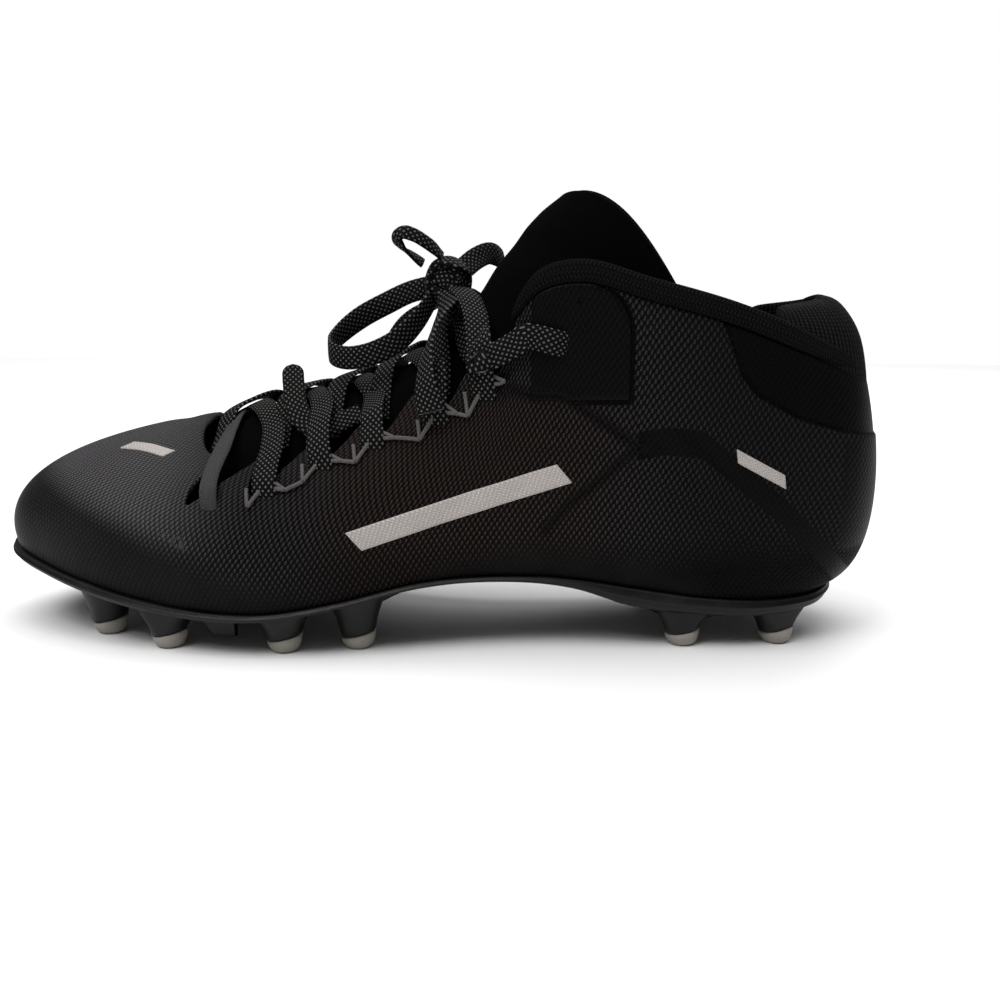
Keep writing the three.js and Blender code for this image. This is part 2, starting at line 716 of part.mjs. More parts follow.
// The rib whose point at a share of its height lies at a given place along the length, on one side.
function ribOver(s, v, side) {
  let best = 0;
  let near = Infinity;
  for (let i = 0; i <= SEARCH_STEPS; i += 1) {
    const half = i / SEARCH_STEPS / 2;
    const u = side < 0 ? half : 1 - half;
    const gap = Math.abs(skinPoint(u, v).x - along(s));
    if (gap < near) {
      near = gap;
      best = u;
    }
  }
  return best;
}

// The place on the tongue at a share of its wrap that lies at a given place along the length.
function tongueSpot(s, k) {
  let best = 0;
  for (let i = 0; i <= SEARCH_STEPS; i += 1) {
    const t = i / SEARCH_STEPS;
    if (Math.abs(tonguePoint(t, k, 0).x - along(s)) < Math.abs(tonguePoint(best, k, 0).x - along(s))) {
      best = t;
    }
  }
  const step = 0.01;
  const p = tonguePoint(best, k, 0);
  const ahead = tonguePoint(Math.min(best + step, 1), k, 0).sub(tonguePoint(Math.max(best - step, 0), k, 0));
  const side = tonguePoint(best, k + step, 0).sub(tonguePoint(best, k - step, 0));
  return { p, n: side.cross(ahead).negate().normalize() };
}

// Even steps along a line of spots, each with its place and the direction that the lace looks in.
function spread(spots, steps) {
  const path = new THREE.CatmullRomCurve3(spots.map((spot) => spot.p), false, "centripetal");
  const look = new THREE.CatmullRomCurve3(spots.map((spot) => spot.n), false, "centripetal");
  const shares = Array.from({ length: steps + 1 }, (_, i) => i / steps);
  return {
    points: shares.map((t) => path.getPoint(t)),
    faces: shares.map((t) => look.getPoint(t).normalize()),
  };
}

// A spot on the skin or on the tongue, lifted by the lace's clearance and a given amount more.
function onSkin(s, v, side, more) {
  const u = ribOver(s, v, side);
  const n = skinNormal(u, v);
  return { p: skinPoint(u, v).addScaledVector(n, LACE_CLEAR + LACE_THICK / 2 + more), n };
}

function onTongue(s, k, more) {
  const { p, n } = tongueSpot(s, k);
  return { p: p.addScaledVector(n, LACE_CLEAR + LACE_THICK / 2 + more), n };
}

// A crossing runs straight up from an eyelet and slants over the tongue to an eyelet on the other side.
function crossingPath(from, to, side) {
  const bulge = side < 0 ? from.bulge : 0;
  const landing = side > 0 ? to.bulge : 0;
  const overTongue = (k) => {
    const s = from.s + (to.s - from.s) * ease(0.5, -0.5, k);
    return onTongue(s, k * side, bulge * ease(0.1, 0.4, k) + landing * ease(-0.1, -0.4, k));
  };
  const spots = [
    onSkin(from.s, from.v, side, 0),
    onSkin(from.s, (1 + from.v) / 2, side, EDGE_LIFT / 4 + bulge / 2),
    onSkin(from.s, 1, side, EDGE_LIFT + bulge),
    ...[0.5, 0.25, 0, -0.25, -0.5].map(overTongue),
    onSkin(to.s, 1, -side, EDGE_LIFT + landing),
    onSkin(to.s, (1 + to.v) / 2, -side, EDGE_LIFT / 4 + landing / 2),
    onSkin(to.s, to.v, -side, 0),
  ];
  return spread(spots, CROSSING_STEPS);
}

// The last crossing goes on from the tongue over the collar's front edge to an eyelet on each ankle panel.
// wrap is the share of the tongue's wrap and lift is in millimetres.
const ankleTongue = [
  { s: 0.470, wrap: 0 },
  { s: 0.462, wrap: 0.25 },
  { s: 0.448, wrap: 0.50 },
];
const ankleSkin = [
  { s: 0.428, v: 1.00, lift: 5.1 },
  { s: 0.405, v: 0.92, lift: 2.0 },
  { s: 0.385, v: 0.86, lift: 2.0 },
  { s: 0.364, v: 0.82, lift: 2.0 },
];

function anklePath(side) {
  const spots = [
    ...ankleTongue.map(({ s, wrap }) => onTongue(s, wrap * side, 0)),
    ...ankleSkin.map(({ s, v, lift }) => onSkin(s, v, side, lift)),
  ];
  return spread(spots, ANKLE_STEPS);
}

function makeCrossings() {
  let lace = null;
  const addBar = ({ points, faces }) => {
    const bar = toSolid(ribbon(points, faces, LACE_WIDTH, LACE_THICK));
    lace = lace ? lace.add(bar) : bar;
  };
  addBar(crossingPath(eyeletTable[0], eyeletTable[0], -1));
  for (let i = 0; i < eyeletTable.length - 1; i += 1) {
    addBar(crossingPath(eyeletTable[i], eyeletTable[i + 1], -1));
    addBar(crossingPath(eyeletTable[i], eyeletTable[i + 1], 1));
  }
  addBar(anklePath(-1));
  addBar(anklePath(1));
  return toGeometry(lace);
}

// The bow: routes of its loops and ends, each point on the middle of the flat lace.
const KNOT = [5, -1, 115.6];
const KNOT_SIZE = [7.5, 7, 8.6];
const bowRoutes = {
  lace_loop_outer: [
    [-0.6, 4.8, 114.6], [-9, 7, 112.5], [-17, 8, 108.8], [-25, 7, 104.5], [-31, 2, 99.5], [-34, -5, 95],
    [-32, -12, 92.5], [-26, -16.5, 91.5], [-18, -18.5, 93], [-10, -18, 97], [-4, -15, 103], [0.5, -10.2, 110],
  ],
  lace_loop_inner: [
    [9.5, 6.6, 120.4], [13.5, 12, 124], [18, 19, 126], [22, 26, 123.5], [22.5, 32, 118], [19, 37, 112],
    [13, 39, 107.5], [7, 37, 105], [3, 30.5, 105.5], [2, 22, 108.5], [2.5, 13.5, 112], [4.3, 6.7, 114.4],
  ],
  lace_ear: [
    [3.2, -2.8, 124], [1, -4.5, 126.3], [-2, -6.5, 128.6], [-5.5, -7.5, 130.6], [-9, -7.5, 131.4],
    [-11.2, -6.5, 130], [-10, -5, 127.2], [-6.8, -3.4, 124.6], [-3.2, -2, 121.8],
  ],
  lace_rise_outer: [
    [6.5, -8, 112.5], [6, -14, 108.5], [4, -20.5, 104], [2, -27.5, 98], [1, -34, 91], [1.5, -38.8, 84],
    [3.5, -41.4, 77],
  ],
  lace_end_outer: [
    [-21, -22.8, 74.8], [-25, -23.6, 72.8], [-30, -24.5, 70.4], [-35, -25, 69.4], [-39.5, -23.8, 72],
    [-42.5, -20.5, 76.5], [-44.5, -15, 82.5], [-46, -9.5, 88.5],
  ],
  lace_end_inner: [
    [0, 8.5, 109], [-6, 14.2, 106.4], [-12, 21.5, 102], [-17.5, 29, 94.5], [-21, 37, 85], [-23, 43.5, 75],
    [-24.5, 48.5, 65],
  ],
};

// Directions that the flat lace looks in: outward from the middle of its loop, or up off the shoe.
function bowFaces(name, points) {
  const middle = points.reduce((sum, p) => sum.add(p), new THREE.Vector3()).divideScalar(points.length);
  const shoeAxis = (p) => new THREE.Vector3(p.x, 0, COLLAR_RISE * 0.45);
  return points.map((p) => {
    const from = name.includes("loop") ? middle.clone().setZ(p.z) : shoeAxis(p);
    return name.includes("ear") ? new THREE.Vector3(0.3, 0, 1) : p.clone().sub(from).normalize();
  });
}

function makeBowPiece(name) {
  const rough = bowRoutes[name].map((p) => new THREE.Vector3(...p));
  const curve = new THREE.CatmullRomCurve3(rough, false, "centripetal");
  const points = curve.getSpacedPoints(2 * rough.length);
  return ribbon(points, bowFaces(name, points), LACE_WIDTH, LACE_THICK);
}

function makeKnot() {
  const geometry = new THREE.SphereGeometry(1, 12, 8);
  geometry.scale(...KNOT_SIZE);
  geometry.translate(...KNOT);
  return geometry;
}

const finish = {
  knit: { color: 0x2b2a2d, roughness: 0.85, metalness: 0 },
  plate: { color: 0x141415, roughness: 0.45, metalness: 0 },
  cap: { color: 0xd8d5d0, roughness: 0.5, metalness: 0 },
  lining: { color: 0x1b1b1c, roughness: 0.95, metalness: 0 },
  tongue: { color: 0x0c0c0d, roughness: 0.95, metalness: 0 },
  lace: { color: 0x3a3a3c, roughness: 0.8, metalness: 0 },
};

const shoe = new THREE.Group();

function addPart(name, geometry, look) {
  const mesh = new THREE.Mesh(geometry, new THREE.MeshStandardMaterial(look));
  mesh.name = name;
  shoe.add(mesh);
}

addPart("plate", makePlate(), finish.plate);
studTable.forEach((stud) => addPart(`stud_cap_${stud.name}`, makeStudCap(stud), finish.cap));
addPart("insole", makeInsole(), finish.lining);
addPart("upper", makeUpper(), finish.knit);
addPart("tongue", makeTongue(), finish.tongue);
addPart("collar_band", makeCollarBand(), finish.knit);
addPart("heel_tab", makeHeelTab(), finish.lining);
addPart("lace_crossings", makeCrossings(), finish.lace);
addPart("lace_knot", makeKnot(), finish.lace);
Object.keys(bowRoutes).forEach((name) => addPart(name, makeBowPiece(name), finish.lace));

export default shoe;
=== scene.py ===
"""Looks of a left football cleat: knitted upper, tongue, collar, lace with a bow, moulded plate and studs.

Lengths are in metres. +X points to the heel, -Y to the outer side of the foot and +Z up.
The tables repeat the sections of the CAD solids, and heights and widths are shares of the named sizes.
"""

import bpy
import numpy as np
from mathutils import Matrix, Vector


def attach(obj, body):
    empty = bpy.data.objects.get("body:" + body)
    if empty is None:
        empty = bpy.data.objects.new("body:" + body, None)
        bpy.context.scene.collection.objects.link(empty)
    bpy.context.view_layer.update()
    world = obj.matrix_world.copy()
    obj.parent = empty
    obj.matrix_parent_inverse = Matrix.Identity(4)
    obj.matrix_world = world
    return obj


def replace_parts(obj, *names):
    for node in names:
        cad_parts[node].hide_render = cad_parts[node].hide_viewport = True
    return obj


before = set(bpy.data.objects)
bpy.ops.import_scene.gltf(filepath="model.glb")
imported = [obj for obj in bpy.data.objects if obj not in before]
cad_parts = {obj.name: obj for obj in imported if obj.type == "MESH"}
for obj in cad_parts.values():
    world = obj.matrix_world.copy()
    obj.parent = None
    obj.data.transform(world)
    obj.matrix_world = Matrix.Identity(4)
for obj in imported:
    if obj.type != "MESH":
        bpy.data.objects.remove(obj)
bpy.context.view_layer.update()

MM = 0.001
LENGTH, HALF, RISE, STUD_HEIGHT = 300 * MM, 50.5 * MM, 110.5 * MM, 12.5 * MM
WALL, GAP, OUT_BLEND = 2 * MM, 0.3 * MM, 25 * MM


def table(columns, rows):
    """Named columns from rows of numbers."""
    return {name: np.array([row[i] for row in rows]) for i, name in enumerate(columns.split())}


SOLE = table("s seam low", [
    (0.00, 0.062, 0.030), (0.09, 0.040, -0.012), (0.21, 0.046, -0.012), (0.28, 0.072, 0.010),
    (0.34, 0.097, 0.062), (0.43, 0.110, 0.088), (0.51, 0.096, 0.074), (0.58, 0.054, 0.030),
    (0.66, 0.018, -0.010), (0.75, 0.022, -0.012), (0.83, 0.050, 0.012), (0.92, 0.098, 0.062),
    (1.00, 0.145, 0.108),
])

RIB = table("s lat med top top_lat top_med rise out low lean drop", [
    (0.053, 0.000, 0.000, 0.020, 0.000, 0.000, 0.656, 0.36, 0.04, 0.14, 0.35),
    (0.078, 0.360, 0.360, 0.042, 0.360, 0.360, 0.668, 0.30, 0.10, 0.10, 0.36),
    (0.135, 0.550, 0.550, 0.112, 0.610, 0.610, 0.742, 0.22, 0.22, 0.02, 0.38),
    (0.210, 0.600, 0.580, 0.190, 0.690, 0.690, 0.819, 0.19, 0.30, -0.05, 0.38),
    (0.285, 0.610, 0.560, 0.270, 0.720, 0.720, 0.878, 0.20, 0.30, -0.05, 0.36),
    (0.355, 0.630, 0.520, 0.338, 0.735, 0.735, 0.926, 0.21, 0.30, -0.02, 0.34),
    (0.415, 0.670, 0.500, 0.385, 0.720, 0.720, 0.893, 0.20, 0.32, 0.01, 0.34),
    (0.465, 0.720, 0.510, 0.416, 0.680, 0.690, 0.790, 0.18, 0.36, 0.06, 0.34),
    (0.530, 0.810, 0.580, 0.470, 0.600, 0.620, 0.690, 0.17, 0.42, 0.14, 0.30),
    (0.605, 0.895, 0.730, 0.545, 0.590, 0.620, 0.570, 0.17, 0.46, 0.25, 0.24),
    (0.685, 0.920, 0.870, 0.625, 0.570, 0.620, 0.475, 0.16, 0.50, 0.34, 0.18),
    (0.765, 0.850, 0.915, 0.693, 0.570, 0.620, 0.436, 0.15, 0.52, 0.43, 0.16),
    (0.845, 0.715, 0.870, 0.738, 0.460, 0.520, 0.446, 0.15, 0.54, 0.52, 0.15),
    (0.918, 0.520, 0.740, 0.754, 0.250, 0.340, 0.500, 0.15, 0.55, 0.62, 0.14),
    (0.972, 0.270, 0.510, 0.755, 0.050, 0.170, 0.528, 0.16, 0.55, 0.74, 0.14),
    (0.993, -0.130, 0.130, 0.756, -0.060, 0.060, 0.531, 0.16, 0.55, 0.80, 0.14),
])

TONGUE = table("s rise half depth wrap tip arch", [
    (0.748, 0.478, 0.58, 0.56, 48, -84, 0.00), (0.690, 0.555, 0.64, 0.66, 72, -82, 0.00),
    (0.620, 0.598, 0.64, 0.66, 74, -78, 0.00), (0.555, 0.655, 0.63, 0.64, 74, -72, 0.00),
    (0.500, 0.740, 0.61, 0.70, 76, -62, 0.00), (0.466, 0.840, 0.60, 0.84, 80, -50, 0.00),
    (0.433, 0.965, 0.59, 1.00, 86, -42, 0.03), (0.404, 1.070, 0.58, 1.06, 90, -38, 0.08),
    (0.383, 1.134, 0.57, 1.03, 92, -36, 0.13), (0.362, 1.176, 0.54, 0.91, 92, -39, 0.19),
])


def along(share):
    return LENGTH / 2 - share * LENGTH


def above(share):
    return STUD_HEIGHT + share * RISE


def smooth(knots, values, period=0.0):
    """A smooth curve through values at rising knots, closed when it has a period."""
    gaps = np.diff(np.append(knots, knots[0] + period)) if period else np.diff(knots)
    values = np.append(values, values[0]) if period else values
    rises = np.diff(values) / gaps
    if period:
        slopes = (np.roll(rises, 1) * gaps + rises * np.roll(gaps, 1)) / (gaps + np.roll(gaps, 1))
        slopes = np.append(slopes, slopes[0])
    else:
        middle = (rises[:-1] * gaps[1:] + rises[1:] * gaps[:-1]) / (gaps[:-1] + gaps[1:])
        slopes = np.concatenate([rises[:1], middle, rises[-1:]])

    def at(t):
        t = np.mod(t, period) if period else np.clip(t, knots[0], knots[-1])
        i = np.clip(np.searchsorted(knots, t, side="right") - 1, 0, len(gaps) - 1)
        k = (t - knots[i]) / gaps[i]
        start = values[i] * (1 + 2 * k) * (1 - k) ** 2 + slopes[i] * gaps[i] * k * (1 - k) ** 2
        end = values[i + 1] * k * k * (3 - 2 * k) + slopes[i + 1] * gaps[i] * k * k * (k - 1)
        return start + end

    return at


def ease(a, b, x):
    """Rises smoothly from 0 to 1 as x goes from a to b."""
    k = np.clip((x - a) / (b - a), 0, 1)
    return k * k * (3 - 2 * k)


seam_share = smooth(SOLE["s"], SOLE["seam"])
low_share = smooth(SOLE["s"], SOLE["low"])


def post_curves():
    """Curves for each column of the rib table, round the shoe from the heel over the outer side."""
    inner = slice(-2, 0, -1)
    both = {name: np.append(RIB[name], RIB[name][inner]) for name in ("s", "top", "rise", "out", "low", "lean", "drop")}
    both["y"] = np.append(-RIB["lat"], RIB["med"][inner])
    both["top_y"] = np.append(-RIB["top_lat"], RIB["top_med"][inner])
    ahead = [np.roll(both[name], -1) - both[name] for name in ("s", "y")]
    steps = np.hypot(ahead[0] * LENGTH, ahead[1] * HALF)
    knots = np.append(0, np.cumsum(steps)[:-1])
    curves = {name: smooth(knots, values, steps.sum()) for name, values in both.items()}
    return curves, steps.sum()


CURVES, ROUND = post_curves()


def unit(vectors):
    return vectors / np.maximum(np.linalg.norm(vectors, axis=-1, keepdims=True), 1e-12)


def rib(u):
    """The four control points of the rib at each share of the way round."""
    t = np.asarray(u) * ROUND
    at = {name: curve(t) for name, curve in CURVES.items()}
    step = ROUND * 1e-4
    side_x = -(CURVES["s"](t + step) - CURVES["s"](t - step)) * LENGTH
    side_y = (CURVES["y"](t + step) - CURVES["y"](t - step)) * HALF
    side = unit(np.stack([side_x, side_y], -1))
    foot = np.stack([along(at["s"]), at["y"] * HALF, above(seam_share(at["s"]))], -1)
    top = np.stack([along(at["top"]), at["top_y"] * HALF, above(at["rise"])], -1)
    flat = np.stack([-side[..., 1] * OUT_BLEND, side[..., 0] * OUT_BLEND], -1) + (foot - top)[..., :2]
    out = np.concatenate([unit(flat), np.zeros(flat.shape[:-1] + (1,))], -1)
    height = (top - foot)[..., 2]
    up = np.array([0.0, 0.0, 1.0])
    lower = foot + out * (at["out"] * HALF)[..., None] + up * (at["low"] * height)[..., None]
    upper = top + out * (at["lean"] * HALF)[..., None] - up * (at["drop"] * height)[..., None]
    return foot, lower, upper, top


def skin(u, v):
    """Points of the upper's smooth skin: u goes round from the heel over the outer side, v goes up."""
    foot, lower, upper, top = rib(u)
    v = np.asarray(v)[..., None]
    return (1 - v) ** 3 * foot + 3 * v * (1 - v) ** 2 * lower + 3 * v * v * (1 - v) * upper + v ** 3 * top


def skin_normal(u, v):
    du, dv = 2e-4, 2e-3
    around = skin(u + du, v) - skin(u - du, v)
    upward = skin(u, np.minimum(v + dv, 1)) - skin(u, np.maximum(v - dv, 0))
    return unit(np.cross(upward, around))


TONGUE_STEPS = np.linspace(0, 1, len(TONGUE["s"]))
TONGUE_CURVES = {name: smooth(TONGUE_STEPS, values) for name, values in TONGUE.items()}


def tongue(t, k, inward):
    """Points of the tongue: t goes up its spine, k from -1 on the outer side to 1 on the inner side."""
    at = {name: curve(t) for name, curve in TONGUE_CURVES.items()}
    tip, angle = np.radians(at["tip"]), np.radians(at["wrap"]) * k
    half, depth = at["half"] * HALF - inward, at["depth"] * HALF - inward
    back = inward + depth * (1 - np.cos(angle))
    wing = at["arch"] * HALF * np.sin(np.pi * np.abs(k) ** 1.5)
    x = along(at["s"]) + np.cos(tip) * back
    y = 0.04 * HALF + half * np.sin(angle)
    z = above(at["rise"]) + np.sin(tip) * back + wing
    return np.stack(np.broadcast_arrays(x, y, z), -1)


# Meshes from grids of points

def grid(points, uv=None, close=(False, False)):
    """A grid of points with texture places, closed in none, one or both of its directions."""
    rows, columns = points.shape[0] + close[0], points.shape[1] + close[1]
    if uv is None:
        uv = np.zeros((rows, columns, 2))
    return {"points": points, "uv": uv, "close": close}


def grid_faces(part):
    rows, columns = part["points"].shape[:2]
    i, j = np.meshgrid(
        np.arange(rows - 1 + part["close"][0]), np.arange(columns - 1 + part["close"][1]), indexing="ij")
    corners = [(i, j), (i + 1, j), (i + 1, j + 1), (i, j + 1)]
    wide = columns + part["close"][1]
    vertex = np.stack([(a % rows) * columns + b % columns for a, b in corners], -1).reshape(-1, 4)
    place = np.stack([a * wide + b for a, b in corners], -1).reshape(-1, 4)
    a, b, c, d = (part["points"].reshape(-1, 3)[vertex[:, k]] for k in range(4))
    if np.einsum("ij,ij", a, np.cross(b, c) + np.cross(c, d)) < 0:
        vertex, place = vertex[:, ::-1], place[:, ::-1]
    return vertex, place


def piece(name, parts, material, layers=None):
    """One object from a list of grids, with a float layer for each named array of values."""
    points, faces, uvs, start, first = [], [], [], 0, 0
    for part in parts:
        vertex, place = grid_faces(part)
        points.append(part["points"].reshape(-1, 3))
        faces.append(vertex + start)
        uvs.append(part["uv"].reshape(-1, 2)[place].reshape(-1, 2))
        start += len(points[-1])
    mesh = bpy.data.meshes.new(name)
    mesh.from_pydata(np.concatenate(points).tolist(), [], np.concatenate(faces).tolist())
    mesh.uv_layers.new(name="uv").data.foreach_set("uv", np.concatenate(uvs).ravel())
    for layer, values in (layers or {}).items():
        data = mesh.attributes.new(layer, "FLOAT", "POINT").data
        data.foreach_set("value", np.asarray(values, dtype=np.float32).ravel())
    mesh.shade_smooth()
    mesh.materials.append(material)
    made = bpy.data.objects.new(name, mesh)
    bpy.context.scene.collection.objects.link(made)
    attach(made, "root")
    return made


def through(points, count):
    """Evenly spaced points on a smooth curve through the given ones."""
    points = np.asarray(points, dtype=float)
    reach = np.append(0, np.cumsum(np.linalg.norm(np.diff(points, axis=0), axis=1)))
    curves = [smooth(reach, points[:, k]) for k in range(points.shape[1])]
    fine = np.stack([curve(np.linspace(0, reach[-1], 8 * count)) for curve in curves], -1)
    length = np.append(0, np.cumsum(np.linalg.norm(np.diff(fine[:, :3], axis=0), axis=1)))
    even = np.linspace(0, length[-1], count)
    return np.stack([np.interp(even, length, fine[:, k]) for k in range(points.shape[1])], -1), length[-1]


def tube(path, faces, width, thick, sides=10, round_edge=0.55, round_end=0.0):
    """A flat or round tube along a path, whose broad side looks along the given directions."""
    reach = np.append(0, np.cumsum(np.linalg.norm(np.diff(path, axis=0), axis=1)))
    if round_end:
        near = np.clip((reach[-1] - reach) / (0.5 * width), 0, 1)
        width = (width * (1 - round_end + round_end * np.sqrt(1 - (1 - near) ** 2)))[:, None, None]
    ahead = unit(np.gradient(path, axis=0))
    across = unit(np.cross(ahead, faces))
    face = np.cross(across, ahead)
    angle = (np.arange(sides) + 0.5) / sides * 2 * np.pi
    reach = np.maximum(np.abs(np.cos(angle)), np.abs(np.sin(angle))) ** -round_edge / 2
    x = (np.cos(angle) * reach)[None, :, None] * across[:, None] * width
    y = (np.sin(angle) * reach)[None, :, None] * face[:, None] * thick
    rings = path[:, None] + x + y
    rings = np.concatenate([np.repeat(path[:1, None], sides, 1), rings, np.repeat(path[-1:, None], sides, 1)])
    length = np.append(0, np.cumsum(np.linalg.norm(np.diff(path, axis=0), axis=1)))
    length = np.concatenate([length[:1], length, length[-1:]])
    girth = np.append(np.cos(angle) * reach, np.cos(angle[0]) * reach[0]) * np.max(width)
    uv = np.stack(np.meshgrid(length, girth, indexing="ij"), -1)
    return grid(rings, uv, (False, True))


def lathe(profile, sides, centre):
    """A turned shape from rows of radius and height."""
    angle = np.arange(sides) / sides * 2 * np.pi
    radius, height = np.array(profile).T
    x = centre[0] + radius[:, None] * np.cos(angle)
    y = centre[1] + radius[:, None] * np.sin(angle)
    points = np.stack([x, y, np.repeat(height[:, None], sides, 1)], -1)
    turns = np.append(angle, 2 * np.pi) * 0.006
    uv = np.stack(np.meshgrid(height, turns, indexing="ij"), -1)
    return grid(points, uv, (False, True))


# Materials

def node(tree, kind, inputs=None, **settings):
    """Adds a node; inputs are sockets to link from or plain values."""
    made = tree.nodes.new(kind)
    for name, value in settings.items():
        setattr(made, name, value)
    for name, value in (inputs or {}).items():
        if isinstance(value, bpy.types.NodeSocket):
            tree.links.new(value, made.inputs[name])
        else:
            made.inputs[name].default_value = value
    return made


def calc(tree, operation, a, b=0.0, c=0.0):
    return node(tree, "ShaderNodeMath", {0: a, 1: b, 2: c}, operation=operation).outputs[0]


def fade(tree, value, low, high):
    """0 where value is at or below low, 1 at or above high, smooth between."""
    inputs = {"Value": value, "From Min": low, "From Max": high}
    return node(tree, "ShaderNodeMapRange", inputs, interpolation_type="SMOOTHSTEP").outputs[0]


def mixed(tree, factor, a, b):
    made = node(tree, "ShaderNodeMix", {0: factor}, data_type="RGBA")
    for socket, value in ((made.inputs[6], a), (made.inputs[7], b)):
        if isinstance(value, bpy.types.NodeSocket):
            tree.links.new(value, socket)
        else:
            socket.default_value = (*value, 1)
    return made.outputs[2]


def noise(tree, size, detail=3.0, rough=0.5):
    """Smooth noise, 0 to 1, whose features are about that size in metres."""
    place = node(tree, "ShaderNodeTexCoord").outputs["Object"]
    inputs = {"Vector": place, "Scale": 1 / size, "Detail": detail, "Roughness": rough}
    return node(tree, "ShaderNodeTexNoise", inputs).outputs[0]


def texture_place(tree):
    """Texture places in metres: along and across."""
    place = node(tree, "ShaderNodeUVMap", uv_map="uv").outputs[0]
    split = node(tree, "ShaderNodeSeparateXYZ", {0: place})
    return split.outputs[0], split.outputs[1]


def wave(tree, value, pitch):
    """A wave from 0 to 1 with that pitch in metres."""
    turn = calc(tree, "MULTIPLY", value, 2 * np.pi / pitch)
    return calc(tree, "MULTIPLY_ADD", calc(tree, "SINE", turn), 0.5, 0.5)


def material(name, rough, specular=0.5, sheen=0.0, coat=0.0):
    made = bpy.data.materials.new(name)
    made.use_nodes = True
    shader = made.node_tree.nodes["Principled BSDF"]
    shader.inputs["Roughness"].default_value = rough
    shader.inputs["Specular IOR Level"].default_value = specular
    shader.inputs["Sheen Weight"].default_value = sheen
    shader.inputs["Sheen Roughness"].default_value = 0.4
    shader.inputs["Coat Weight"].default_value = coat
    shader.inputs["Coat Roughness"].default_value = 0.35
    return made, made.node_tree, shader


def set_inputs(tree, shader, color=None, rough=None, height=None, depth=0.0002):
    if color is not None:
        tree.links.new(color, shader.inputs["Base Color"])
    if rough is not None:
        tree.links.new(rough, shader.inputs["Roughness"])
    if height is not None:
        bump = node(tree, "ShaderNodeBump", {"Height": height, "Strength": 1.0, "Distance": depth})
        tree.links.new(bump.outputs[0], shader.inputs["Normal"])


def layer(tree, name):
    return node(tree, "ShaderNodeAttribute", attribute_name=name).outputs["Fac"]


def line_height(tree, x, points):
    """The height of a line at x, from a table of x and height."""
    curve = node(tree, "ShaderNodeFloatCurve")
    spots = curve.mapping.curves[0].points
    shares = [((a + LENGTH / 2) / LENGTH, b / RISE) for a, b in points]
    for spot, share in zip((spots[0], spots[-1]), (shares[0], shares[-1])):
        spot.location = share
    for share in shares[1:-1]:
        spots.new(*share)
    for spot in spots:
        spot.handle_type = "VECTOR"
    curve.mapping.update()
    tree.links.new(calc(tree, "MULTIPLY_ADD", x, 1 / LENGTH, 0.5), curve.inputs["Value"])
    return calc(tree, "MULTIPLY", curve.outputs[0], RISE)


def panel_inside(tree, x, z):
    """How far inside the ankle panel's rounded outline a place is."""
    corner = calc(tree, "MULTIPLY_ADD", z, 1 / CORNER_HIGH, -CORNER_START / CORNER_HIGH)
    corner = calc(tree, "MINIMUM", calc(tree, "MAXIMUM", corner, 0), 0.999)
    bend = calc(tree, "SQRT", calc(tree, "SUBTRACT", 1, calc(tree, "POWER", corner, 2)))
    right = calc(tree, "MULTIPLY_ADD", bend, CORNER_WIDE, PANEL_EDGE - CORNER_WIDE)
    inside = calc(tree, "MINIMUM", calc(tree, "SUBTRACT", x, PANEL_START), calc(tree, "SUBTRACT", right, x))
    return calc(tree, "MINIMUM", inside, calc(tree, "SUBTRACT", z, PANEL_FOOT))


def star_gap(tree, x, z):
    """Distance from a small dimple on the ankle panel, shorter along its four points."""
    a = calc(tree, "ABSOLUTE", calc(tree, "SUBTRACT", x, DIMPLE[0]))
    b = calc(tree, "ABSOLUTE", calc(tree, "SUBTRACT", z, DIMPLE[1]))
    root = calc(tree, "ADD", calc(tree, "SQRT", a), calc(tree, "SQRT", b))
    return calc(tree, "MULTIPLY", calc(tree, "POWER", root, 2), 0.55)


